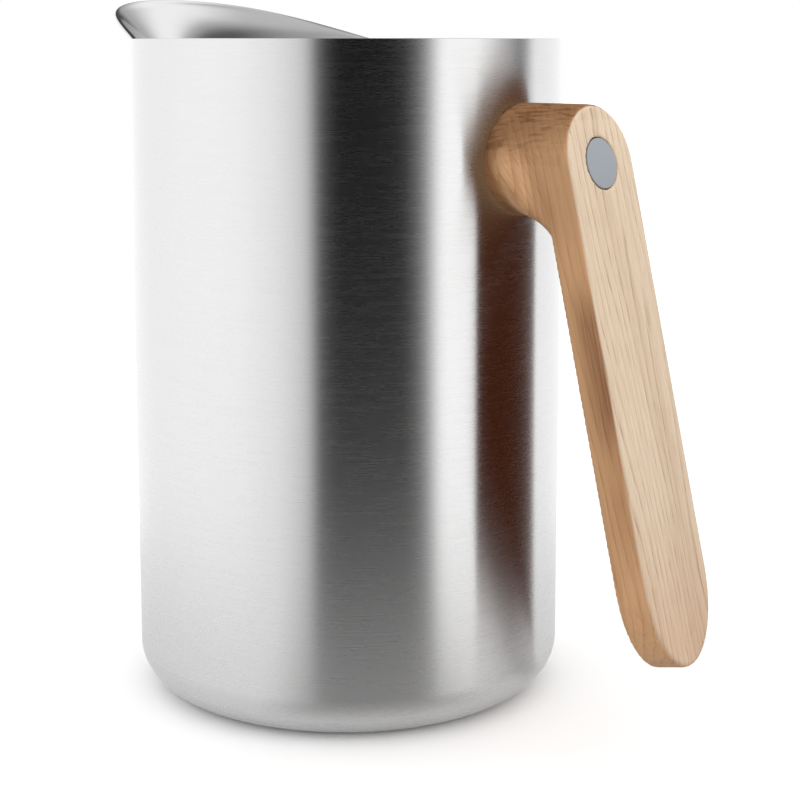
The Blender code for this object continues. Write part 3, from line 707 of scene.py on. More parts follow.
def turned(corners: Sequence[Corner], steps: int, closed: bool = False) -> Mesh:
    """Spin a profile about Z and round its corners.

    Args:
        corners: The profile, from one end to the other.
        steps: Facets in a full turn.
        closed: Whether the profile returns to its first corner.

    Returns:
        The turned mesh.
    """
    builder = bmesh.new()
    verts = [builder.verts.new((corner.radius, 0.0, corner.height)) for corner in corners]
    pairs = list(zip(verts, verts[1:])) + ([(verts[-1], verts[0])] if closed else [])
    edges = [builder.edges.new(pair) for pair in pairs]
    bmesh.ops.spin(
        builder,
        geom=verts + edges,
        cent=(0.0, 0.0, 0.0),
        axis=(0.0, 0.0, 1.0),
        angle=math.tau,
        steps=steps,
        use_merge=True,
        use_duplicate=False,
    )
    bmesh.ops.remove_doubles(builder, verts=builder.verts, dist=MERGE)
    bmesh.ops.recalc_face_normals(builder, faces=builder.faces)
    for corner in corners:
        if corner.rounding:
            round_ring(builder, corner)
    return builder


def round_ring(builder: Mesh, corner: Corner) -> None:
    """Bevel the ring of edges that a profile's corner made.

    Args:
        builder: The turned mesh.
        corner: The corner, with its rounding.
    """
    within = 2.0 * MERGE

    def on_ring(vert: bmesh.types.BMVert) -> bool:
        """Tell whether a vertex lies on the corner's ring."""
        aside, above = vert.co.xy.length - corner.radius, vert.co.z - corner.height
        return abs(aside) < within and abs(above) < within

    ring = [edge for edge in builder.edges if all(on_ring(vert) for vert in edge.verts)]
    bmesh.ops.bevel(
        builder,
        geom=ring,
        offset=corner.rounding,
        offset_type="OFFSET",
        segments=corner.segments,
        profile=0.5,
        affect="EDGES",
        clamp_overlap=False,
        material=-1,
    )


def rod(radius: float, start: Sequence[float], end: Sequence[float], facets: int = 96) -> Mesh:
    """Make a solid rod.

    Args:
        radius: Its radius.
        start: Centre of one end.
        end: Centre of the other.
        facets: Facets round it.

    Returns:
        The mesh.
    """
    builder = bmesh.new()
    run, middle = Vector(end) - Vector(start), (Vector(start) + Vector(end)) / 2.0
    place = Matrix.Translation(middle) @ run.to_track_quat("Z", "Y").to_matrix().to_4x4()
    size = {"radius1": radius, "radius2": radius, "depth": run.length}
    bmesh.ops.create_cone(builder, cap_ends=True, segments=facets, matrix=place, **size)
    return builder


def port_rod(radius: float, low: float, high: float) -> Mesh:
    """Make an upright rod on the pouring port's axis."""
    return rod(radius, (PORT_X, 0.0, low), (PORT_X, 0.0, high))


def pin_bore() -> Mesh:
    """Make the rod that bores the hinge pin's hole, longer than the lid is wide."""
    beyond = Vector((0.0, 0.05, 0.0))
    return rod(BORE_RADIUS, HINGE - beyond, HINGE + beyond)


def carved(builder: Mesh, tools: Sequence[tuple[str, Mesh]]) -> Mesh:
    """Join shapes to a mesh or cut them out of it.

    Args:
        builder: The mesh, which is freed.
        tools: Boolean operations, each with the mesh that it takes, which is freed.

    Returns:
        The carved mesh.
    """
    helpers = []
    for name, shape in [("blank", builder), *tools]:
        mesh = bpy.data.meshes.new(name)
        shape.to_mesh(mesh)
        shape.free()
        helpers.append(bpy.data.objects.new(name, mesh))
        bpy.context.scene.collection.objects.link(helpers[-1])
    for (operation, _), helper in zip(tools, helpers[1:]):
        cut = helpers[0].modifiers.new(operation, "BOOLEAN")
        cut.operation, cut.object, cut.solver = operation, helper, "EXACT"
    result = bmesh.new()
    result.from_object(helpers[0], bpy.context.evaluated_depsgraph_get())
    for helper in helpers:
        bpy.data.meshes.remove(helper.data)
    bmesh.ops.remove_doubles(result, verts=result.verts, dist=MERGE)
    return result


def moved(builder: Mesh, place: Matrix) -> Mesh:
    """Move and turn a mesh to its place, and give it back."""
    bmesh.ops.transform(builder, matrix=place, verts=builder.verts)
    return builder


def merged_copy(node: str) -> Mesh:
    """Copy a CAD node's mesh and join its loose triangles.

    Args:
        node: The node's name.

    Returns:
        The joined copy.
    """
    builder = bmesh.new()
    builder.from_mesh(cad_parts[node].data)
    bmesh.ops.remove_doubles(builder, verts=builder.verts, dist=CAD_MERGE)
    return builder


@dataclass
class Assembly:
    """A sub-assembly of the jug, whose pieces ride on one body.

    Attributes:
        body: The body.
    """

    body: Body = field(default=Body.JUG, kw_only=True)

    def show(
        self, builder: Mesh, name: str, node: str, finish: Finish, crease: float = 40.0
    ) -> bpy.types.Object:
        """Turn a mesh into a piece in place of a CAD node.

        Args:
            builder: The mesh, which is freed.
            name: The piece's name.
            node: The CAD node that it stands for.
            finish: Its finish.
            crease: Angle in degrees past which an edge is drawn sharp.

        Returns:
            The new object.
        """
        mesh = bpy.data.meshes.new(name)
        builder.to_mesh(mesh)
        builder.free()
        mesh.shade_smooth()
        mesh.set_sharp_from_angle(angle=math.radians(crease))
        mesh.materials.clear()
        mesh.materials.append(finish.material())
        piece = bpy.data.objects.new(name, mesh)
        bpy.context.scene.collection.objects.link(piece)
        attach(piece, self.body.value)
        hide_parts(node)
        piece.modifiers.new("even shading", "WEIGHTED_NORMAL").keep_sharp = True
        faces = len(mesh.polygons)
        LOG.info("%s rides on %s for %s: %d faces", name, self.body.value, node, faces)
        return piece

    def dress_node(self, node: str, finish: Finish) -> None:
        """Give a CAD node that stays as it is a better material.

        Args:
            node: The node's name.
            finish: Its finish.
        """
        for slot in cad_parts[node].material_slots:
            slot.material = finish.material()
        LOG.info("%s keeps its CAD shape in %s", node, finish.name)


BRUSHED_STEEL = Steel(
    slot=Slot.BRUSHED_STEEL,
    dark=(0.732, 0.732, 0.732),
    light=(0.758, 0.758, 0.758),
    smooth=0.259,
    rough=0.278,
    anisotropy=1.0,
    along=2.4,
    across=1900.0,
)
SATIN_STEEL = Steel(
    slot=Slot.SATIN_STEEL,
    dark=(0.71, 0.71, 0.71),
    light=(0.74, 0.74, 0.74),
    smooth=0.13,
    rough=0.145,
    along=3.0,
    across=900.0,
)
DULL_SOLDER = Moulded(
    slot=Slot.SOLDER,
    colour=(0.42, 0.42, 0.44),
    worn=(0.52, 0.52, 0.53),
    roughness=0.5,
    polish=0.15,
    scale=900.0,
    relief=0.2,
    metallic=1.0,
)
GREY_PLASTIC = Moulded(
    slot=Slot.GREY_PLASTIC,
    colour=(0.36, 0.385, 0.42),
    worn=(0.38, 0.405, 0.435),
    roughness=0.55,
    polish=0.08,
    scale=2600.0,
    relief=0.08,
)
BLACK_PLASTIC = Moulded(
    slot=Slot.BLACK_PLASTIC,
    colour=(0.016, 0.016, 0.017),
    worn=(0.026, 0.026, 0.027),
    roughness=0.56,
    polish=0.12,
    scale=1900.0,
    relief=0.22,
)
SILICONE = Moulded(
    slot=Slot.SILICONE,
    colour=(0.040, 0.040, 0.041),
    worn=(0.060, 0.060, 0.060),
    roughness=0.78,
    polish=0.10,
    scale=1500.0,
    relief=0.15,
    specular=0.4,
)
FOAM = Moulded(
    slot=Slot.FOAM,
    colour=(0.86, 0.86, 0.83),
    worn=(0.78, 0.78, 0.74),
    roughness=0.95,
    polish=0.05,
    scale=1100.0,
    relief=0.8,
    depth=0.0002,
    specular=0.2,
)


@dataclass
class OuterShell(Assembly):
    """The drawn steel body with its rounded foot and the hem round the base opening.

    Attributes:
        radius: Outer radius.
        wall: Thickness of the sheet.
        top: Top of the wall, under the collar's edge.
        rim: Top of the thin skin that runs up beside that edge.
        skin: Thickness of that skin.
        lift: Height of the foot's underside.
        foot: Radius of the foot's rounding.
        opening: Radius of the opening for the base plate.
        hem: Top of the hem round the opening.
        rings: Heights of extra rings, which keep the wall's shading straight.
        steps: Facets in a turn.
    """

    radius: float = 0.0575
    wall: float = 0.0010
    top: float = 0.17415
    rim: float = 0.1749
    skin: float = 0.00009
    lift: float = 0.0004
    foot: float = 0.0118
    opening: float = 0.0420
    hem: float = 0.0044
    rings: tuple[float, ...] = (
        0.1745, 0.150, 0.125, 0.100, 0.075, 0.050, 0.030, 0.0165, 0.0128
    )
    steps: int = 256

    def build(self) -> None:
        """Spin the wall, its foot and its hem."""
        inner, floor = self.radius - self.wall, self.lift + self.wall
        profile = [
            Corner(self.radius - self.skin, self.top),
            Corner(self.radius - self.skin, self.rim),
            Corner(self.radius, self.rim),
            *(Corner(self.radius, height) for height in self.rings),
            Corner(self.radius, self.lift, self.foot, 28),
            Corner(self.opening, self.lift, 0.0004, 3),
            Corner(self.opening, self.hem),
            Corner(self.opening + self.wall, self.hem),
            Corner(self.opening + self.wall, floor),
            Corner(inner, floor, self.foot - self.wall, 14),
            Corner(inner, self.top),
        ]
        wall = turned(profile, self.steps, closed=True)
        self.show(wall, "body_shell", "outer_shell", BRUSHED_STEEL)


@dataclass
class PouringCollar(Assembly):
    """The pressed collar: neck sleeve, funnel, level rim and the lip that rises over the spout.

    Attributes:
        neck: Radius of the sleeve.
        neck_bottom: Foot of the sleeve.
        neck_top: Height where the funnel begins.
        swell: How far the funnel's bend lies above that height.
        lip_swell: How much more it does at the spout, as a share.
        band: Width of the flat band along the free edge.
        dip: How far the band's foot lies below a level edge.
        edge: Radius of the free edge away from the spout.
        rim: Height of the free edge away from the spout.
        reach: How far the spout stands out past that edge.
        spread: Half-width of the spout, in radians.
        squareness: How suddenly the spout begins.
        tail: Share of the spout's swell that is cut off at its sides.
        slope: Rise of the lip for each metre towards its tip.
        start: Distance from the axis at which the lip starts to rise.
        lean: Angle of the band from upright at the spout, in radians.
        sheet: Thickness of the sheet.
        soft_edge: Rounding of the sheet's edges.
        seam: Points of the rolled grid that are closer than this are one.
        rows: Rows of the funnel.
        steps: Facets in a turn.
    """

    neck: float = 0.0460
    neck_bottom: float = 0.1460
    neck_top: float = 0.1580
    swell: float = 0.0080
    lip_swell: float = 0.3
    band: float = 0.0012
    dip: float = 0.0001
    edge: float = 0.0574
    rim: float = 0.1750
    reach: float = 0.0086
    spread: float = 0.741
    squareness: float = 3.75
    tail: float = 0.06
    slope: float = 0.325
    start: float = 0.0315
    lean: float = math.radians(42)
    sheet: float = 0.0008
    soft_edge: float = 0.00022
    seam: float = 1e-5
    rows: int = 26
    steps: int = 320

    def share(self, azimuth: float) -> float:
        """Give how much of the spout is in the collar at an angle from -X, from 0 to 1."""
        swell = math.exp(-(abs(azimuth / self.spread) ** self.squareness))
        return max(0.0, (swell - self.tail) / (1.0 - self.tail))

    def point(self, azimuth: float, row: int) -> tuple[float, float]:
        """Place a point of the collar's upper face.

        Args:
            azimuth: Angle from -X.
            row: Row, from the sleeve's foot at 0 to the free edge at the last.

        Returns:
            Its radius and its height.
        """
        if row == 0:
            return self.neck, self.neck_bottom
        share = self.share(azimuth)
        edge_radius = self.edge + self.reach * share
        rise = self.slope * (edge_radius * math.cos(azimuth) - self.start)
        edge_height = self.rim + max(0.0, rise)
        if row > self.rows:
            return edge_radius, edge_height
        level = math.radians(90)
        lean = level + (self.lean - level) * share
        end_radius = edge_radius - self.band * math.sin(lean)
        end_height = edge_height - self.band * math.cos(lean) - self.dip * (1.0 - share)
        along = (row - 1) / (self.rows - 1)
        bend = self.neck_top + self.swell * (1.0 + self.lip_swell * share)
        radius = self.neck + (end_radius - self.neck) * along**2
        rising = self.neck_top * (1.0 - along) ** 2 + bend * 2.0 * along * (1.0 - along)
        return radius, rising + end_height * along**2

    def build(self) -> None:
        """Roll a flat grid into the collar, then give the sheet its thickness and a soft edge."""
        rows = self.rows + 1
        builder = bmesh.new()
        bmesh.ops.create_grid(builder, x_segments=self.steps, y_segments=rows, size=1.0)
        for vert in builder.verts:
            azimuth = -math.pi * vert.co.x
            row = round((vert.co.y + 1.0) / 2.0 * rows)
            radius, height = self.point(azimuth, row)
            vert.co = (-radius * math.cos(azimuth), -radius * math.sin(azimuth), height)
        bmesh.ops.remove_doubles(builder, verts=builder.verts, dist=self.seam)
        collar = self.show(builder, "lip_collar", "pouring_collar", SATIN_STEEL, 70.0)
        thickness = collar.modifiers.new("sheet", "SOLIDIFY")
        thickness.thickness = self.sheet
        thickness.offset = -1.0
        thickness.use_even_offset = True
        soft = collar.modifiers.new("soft edge", "BEVEL")
        soft.width = self.soft_edge
        soft.segments = 3
        soft.limit_method = "ANGLE"
        soft.angle_limit = math.radians(60)


@dataclass
class BaseAndFlask(Assembly):
    """The inner flask, the base plate with its seal, the getter and the pad the jug stands on.

    Attributes:
        flask_radius: Inner radius of the flask.
        flask_floor: Height of its floor.
        flask_corner: Rounding between its floor and its wall.
        flask_top: Its top, inside the neck.
        sheet: Thickness of its sheet.
        neck: Inner radius of its neck.
        shoulder_bottom: Height where the shoulder leaves the wall.
        shoulder_top: Height where it meets the neck.
        shoulder_rings: Rings of the shoulder.
        pad_radius: Radius of the pad.
        pad_top: Top of the pad.
        grooves: Radii of the grooves in the pad's underside.
        groove_depth: Their depth.
        groove_mouth: Half their width at the underside.
        groove_bed: Half their width at the bottom.
        groove_edge: Rounding of their edges.
        steps: Facets in a turn.
    """

    flask_radius: float = 0.0512
    flask_floor: float = 0.0093
    flask_corner: float = 0.0110
    flask_top: float = 0.1565
    sheet: float = 0.0008
    neck: float = 0.0471
    shoulder_bottom: float = 0.1340
    shoulder_top: float = 0.1440
    shoulder_rings: int = 12
    pad_radius: float = 0.0414
    pad_top: float = 0.0021
    grooves: tuple[float, ...] = (0.0370, 0.0290, 0.0210)
    groove_depth: float = 0.0005
    groove_mouth: float = 0.0011
    groove_bed: float = 0.0007
    groove_edge: float = 0.0002
    steps: int = 160

    def shoulder(self, offset: float) -> list[Corner]:
        """List the S-shaped shoulder, from the wall up to the neck.

        Args:
            offset: How far it is moved outwards.

        Returns:
            Its corners.
        """
        corners = []
        for i in range(self.shoulder_rings + 1):
            share = i / self.shoulder_rings
            ease = share * share * (3.0 - 2.0 * share)
            radius = self.flask_radius + (self.neck - self.flask_radius) * ease
            height = self.shoulder_bottom + (self.shoulder_top - self.shoulder_bottom) * share
            corners.append(Corner(radius + offset, height))
        return corners

    def build(self) -> None:
        """Turn the flask and the grooved pad, and dress the sealed pieces."""
        floor, wall = self.flask_floor, self.sheet
        flask = [
            Corner(0.0, floor),
            Corner(self.flask_radius, floor, self.flask_corner, 14),
            *self.shoulder(0.0),
            Corner(self.neck, self.flask_top),
            Corner(self.neck + wall, self.flask_top),
            *reversed(self.shoulder(wall)),
            Corner(self.flask_radius + wall, floor - wall, self.flask_corner + wall, 8),
            Corner(0.0, floor - wall),
        ]
        self.show(turned(flask, self.steps), "flask_wall", "inner_flask", SATIN_STEEL)
        *pad, middle = disc(self.pad_radius, self.pad_top, 0.0, (0.0003, 3), (0.0005, 4))
        mouth, bed, deep = self.groove_mouth, self.groove_bed, self.groove_depth
        for groove in self.grooves:
            for aside, height in ((mouth, 0.0), (bed, deep), (-bed, deep), (-mouth, 0.0)):
                pad.append(Corner(groove + aside, height, self.groove_edge, 2))
        self.show(turned([*pad, middle], self.steps), "foot_pad", "base_pad", SILICONE)
        self.dress_node("base_plate", SATIN_STEEL)
        self.dress_node("vacuum_seal", DULL_SOLDER)
        self.dress_node("getter", DULL_SOLDER)


@dataclass
class OakHandle(Assembly):
    """The carved oak handle, its plug and the fixing that the plug hides.

    Attributes:
        reach: Distance of the outer face from the jug's axis, on the boss's axis.
        boss_height: Height of the boss's axis.
        tilt: Lean of the leg, in radians.
        plug_radius: Radius of the plug.
        plug_thickness: Its thickness.
        plug_edge: Rounding of its edge.
        plug_steps: Its facets.
        voxel: Size of the cells that the handle's skin is drawn from.
    """

    reach: float = 0.0814
    boss_height: float = 0.1453
    tilt: float = math.radians(13.2)
    plug_radius: float = 0.0062
    plug_thickness: float = 0.0026
    plug_edge: float = 0.0002
    plug_steps: int = 96
    voxel: float = 0.00045

    def build(self) -> None:
        """Build the handle and its plug, and dress the fixing."""
        head = (self.reach, 0.0, self.boss_height)
        self.build_handle(head)
        profile = disc(self.plug_radius, 0.0, -self.plug_thickness, (self.plug_edge, 3))
        turn = Matrix.Rotation(math.radians(90) - self.tilt, 4, "Y")
        plug = moved(turned(profile, self.plug_steps), Matrix.Translation(head) @ turn)
        self.show(plug, "flush_plug", "handle_plug", GREY_PLASTIC)
        for node in ("handle_screw", "screw_washer", "mounting_bush", "locating_pin"):
            self.dress_node(node, SATIN_STEEL)

    def build_handle(self, head: Point) -> None:
        """Give the carved solid a fine skin with soft edges.

        Args:
            head: Point where the boss's axis meets the outer face.
        """
        oak = OiledOak(slot=Slot.OAK, head=head, tilt=self.tilt, specular=0.35)
        handle = self.show(merged_copy("handle"), "carved_handle", "handle", oak, 180.0)
        fine = handle.modifiers.new("fine skin", "REMESH")
        fine.mode = "VOXEL"
        fine.voxel_size = self.voxel
        fine.use_smooth_shade = True
        sanded = handle.modifiers.new("sanded", "SMOOTH")
        sanded.factor = 0.5
        sanded.iterations = 2
        # Metal mirrors the studio's doubles of the handle in its place: painted reflections
        handle.visible_glossy = False


@dataclass
class PushInLid(Assembly):
    """The stopper: its moulded body and underside, foam, gasket and hinge pin.

    Attributes:
        top: Top of the body.
        recess: Radius of the flap's recess.
        deck: Floor of that recess.
        deck_bottom: Underside of the deck.
        skirt: Outer radius of the skirt.
        skirt_wall: Its thickness.
        skirt_bottom: Its foot.
        bottom: Underside of the floor.
        flank_bottom: Foot of the flank that sits in the collar's funnel.
        flank_rings: Rings of the flank.
        flank_gap: Clearance between the flank and the funnel.
        edge: Chamfer of the body's upper edge.
        fine_edge: Rounding of the small edges.
        notch_place: Middle of the pouring notch's box.
        notch_size: Size of that box.
        port: Radius of the pouring port.
        duct: Outer radius of the pouring duct.
        groove_bottom: Foot of the gasket's groove.
        groove_top: Top of that groove.
        groove_depth: Its depth.
        gap: Clearance between the parts.
        gasket_steps: Facets of the gasket.
        pin_radius: Radius of the hinge pin.
        pin_half_length: Half its length.
        pin_steps: Its facets.
        steps: Facets of the mouldings.
    """

    body: Body = Body.LID
    top: float = 0.1710
    recess: float = 0.0426
    deck: float = 0.1605
    deck_bottom: float = 0.1585
    skirt: float = 0.0446
    skirt_wall: float = 0.0020
    skirt_bottom: float = 0.1482
    bottom: float = 0.1460
    flank_bottom: float = 0.1630
    flank_rings: int = 10
    flank_gap: float = 0.00064
    edge: float = 0.0008
    fine_edge: float = 0.0002
    notch_place: Point = (-0.0450, 0.0, 0.1712)
    notch_size: Point = (0.0300, 0.0400, 0.0200)
    port: float = 0.0180
    duct: float = 0.0192
    groove_bottom: float = 0.1505
    groove_top: float = 0.1545
    groove_depth: float = 0.0012
    gap: float = 0.0003
    gasket_steps: int = 160
    pin_radius: float = 0.00125
    pin_half_length: float = 0.0310
    pin_steps: int = 32
    steps: int = 192

    def build(self) -> None:
        """Build the mouldings, the gasket and the pin, and dress the foam."""
        self.build_body()
        self.build_floor()
        self.build_gasket()
        half = self.pin_half_length
        profile = disc(self.pin_radius, half, -half, (0.0003, 3), (0.0003, 3))
        place = Matrix.Translation(HINGE) @ Matrix.Rotation(math.radians(90), 4, "X")
        pin = moved(turned(profile, self.pin_steps), place)
        self.show(pin, "flap_pin", "hinge_pin", SATIN_STEEL)
        self.dress_node("lid_insulation", FOAM)

    def flank(self, height: float) -> Corner:
        """Give the point of the body's flank at a height, just inside the collar's funnel.

        Args:
            height: The height.

        Returns:
            The point.
        """
        collar = PouringCollar
        rise = 2.0 * collar.swell
        bend = collar.rim - collar.neck_top - rise
        root = math.sqrt(rise**2 + 4.0 * bend * (height - collar.neck_top))
        along = (root - rise) / (2.0 * bend)
        reach = collar.edge - collar.band - collar.neck
        return Corner(collar.neck + reach * along**2 - self.flank_gap, height)

    def port_bore(self) -> Mesh:
        """Make the rod that bores the pouring port, from below the lid up to its top."""
        return port_rod(self.port, self.bottom - 0.010, self.top)

    def build_body(self) -> None:
        """Turn the stopper's body, then cut the port, the pouring notch and the pin's bore."""
        shoulder = self.flank(self.top - self.edge)
        fall = (shoulder.height - self.flank_bottom) / self.flank_rings
        groove, inner = self.skirt - self.groove_depth, self.skirt - self.skirt_wall
        profile = [
            Corner(0.0, self.deck),
            Corner(self.recess, self.deck, 0.0003, 3),
            Corner(self.recess, self.top, 0.0007, 5),
            Corner(shoulder.radius - self.edge, self.top, 0.0004, 3),
            Corner(shoulder.radius, shoulder.height, 0.0004, 3),
            *(self.flank(shoulder.height - fall * (i + 1)) for i in range(self.flank_rings)),
            Corner(self.skirt, self.deck_bottom),
            Corner(self.skirt, self.groove_top, self.fine_edge, 2),
            Corner(groove, self.groove_top),
            Corner(groove, self.groove_bottom),
            Corner(self.skirt, self.groove_bottom, self.fine_edge, 2),
            Corner(self.skirt, self.skirt_bottom, self.fine_edge, 2),
            Corner(inner, self.skirt_bottom),
            Corner(inner, self.deck_bottom),
            Corner(0.0, self.deck_bottom),
        ]
        notch = bmesh.new()
        box = Matrix.Translation(self.notch_place) @ Matrix.Diagonal((*self.notch_size, 1.0))
        bmesh.ops.create_cube(notch, size=1.0, matrix=box)
        cuts = [("DIFFERENCE", shape) for shape in (self.port_bore(), notch, pin_bore())]
        body = carved(turned(profile, self.steps), cuts)
        self.show(body, "stopper_body", "lid_body", BLACK_PLASTIC, CARVED_CREASE)

    def build_floor(self) -> None:
        """Turn the stopper's floor, then join the pouring duct to it and bore it through."""
        seam = self.skirt_bottom - self.gap
        profile = disc(self.skirt, seam, self.bottom, (self.fine_edge, 2), (0.0006, 5))
        duct = port_rod(self.duct, self.bottom + 0.0005, self.deck_bottom - self.gap)
        tools = [("UNION", duct), ("DIFFERENCE", self.port_bore())]
        floor = carved(turned(profile, self.steps), tools)
        self.show(floor, "stopper_floor", "lid_underside", BLACK_PLASTIC, CARVED_CREASE)

    def build_gasket(self) -> None:
        """Turn the gasket, with its two lips that press on the neck."""
        inner = self.skirt - self.groove_depth + self.gap
        lip, valley = PouringCollar.neck - self.gap, self.skirt + 0.0002
        low, high = self.groove_bottom + self.gap, self.groove_top - self.gap
        middle = (low + high) / 2.0
        profile = [
            Corner(self.skirt, high),
            Corner(lip, high - 0.0006, 0.0003, 3),
            Corner(valley, middle + 0.0002, 0.0001, 2),
            Corner(valley, middle - 0.0002, 0.0001, 2),
            Corner(lip, low + 0.0006, 0.0003, 3),
            Corner(self.skirt, low),
            Corner(inner, low),
            Corner(inner, high),
        ]
        gasket = turned(profile, self.gasket_steps, closed=True)
        self.show(gasket, "stopper_gasket", "lid_gasket", SILICONE)


@dataclass
class TippingFlap(Assembly):
    """The flap that tips open: its bored plate, steel cover and seal.

    Attributes:
        plate_radius: Radius of the plate.
        plate_bottom: Its underside.
        plate_top: Its top.
        plate_edge: Rounding of its edges.
        plate_steps: Its facets.
        boss_radius: Radius of the boss that carries the seal.
        cover_radius: Radius of the steel cover.
        cover_bottom: Its underside.
        cover_top: Its top.
        cover_rim: Width of the ring beside its edge that keeps the shading flat.
        cover_edge: Rounding of its edge.
        cover_steps: Its facets.
        seal_inner: Inner radius of the seal.
        seal_outer: Its outer radius.
        seal_top: Its top.
        seal_edge: Rounding of its foot.
        seal_steps: Its facets.
        seat: Its foot, just above the deck.
    """

    body: Body = Body.FLAP
    plate_radius: float = 0.0412
    plate_bottom: float = 0.1649
    plate_top: float = 0.1696
    plate_edge: float = 0.0005
    plate_steps: int = 192
    boss_radius: float = 0.0215
    cover_radius: float = 0.0408
    cover_bottom: float = 0.1699
    cover_top: float = 0.1709
    cover_rim: float = 0.0012
    cover_edge: float = 0.0005
    cover_steps: int = 160
    seal_inner: float = 0.0185
    seal_outer: float = 0.0212
    seal_top: float = 0.1629
    seal_edge: float = 0.0008
    seal_steps: int = 128
    seat: float = 0.1608

    def build(self) -> None:
        """Turn the plate, join its boss and bore it, and turn the cover and the seal."""
        edge = (self.plate_edge, 4)
        profile = disc(self.plate_radius, self.plate_top, self.plate_bottom, edge, edge)
        boss = port_rod(self.boss_radius, self.seal_top + 0.0003, self.plate_bottom + 0.001)
        tools = [("UNION", boss), ("DIFFERENCE", pin_bore())]
        plate = carved(turned(profile, self.plate_steps), tools)
        self.show(plate, "flap_board", "flap_plate", BLACK_PLASTIC, CARVED_CREASE)
        edge = (self.cover_edge, 5)
        middle, *outside = disc(self.cover_radius, self.cover_top, self.cover_bottom, edge)
        ring = Corner(self.cover_radius - self.cover_rim, self.cover_top)
        cover = turned([middle, ring, *outside], self.cover_steps)
        self.show(cover, "flap_disc", "flap_cover", BRUSHED_STEEL)
        profile = [
            Corner(self.seal_outer, self.seal_top),
            Corner(self.seal_outer, self.seat, self.seal_edge, 4),
            Corner(self.seal_inner, self.seat, self.seal_edge, 4),
            Corner(self.seal_inner, self.seal_top),
        ]
        place = Matrix.Translation((PORT_X, 0.0, 0.0))
        seal = moved(turned(profile, self.seal_steps, closed=True), place)
        self.show(seal, "flap_ring", "flap_seal", SILICONE)


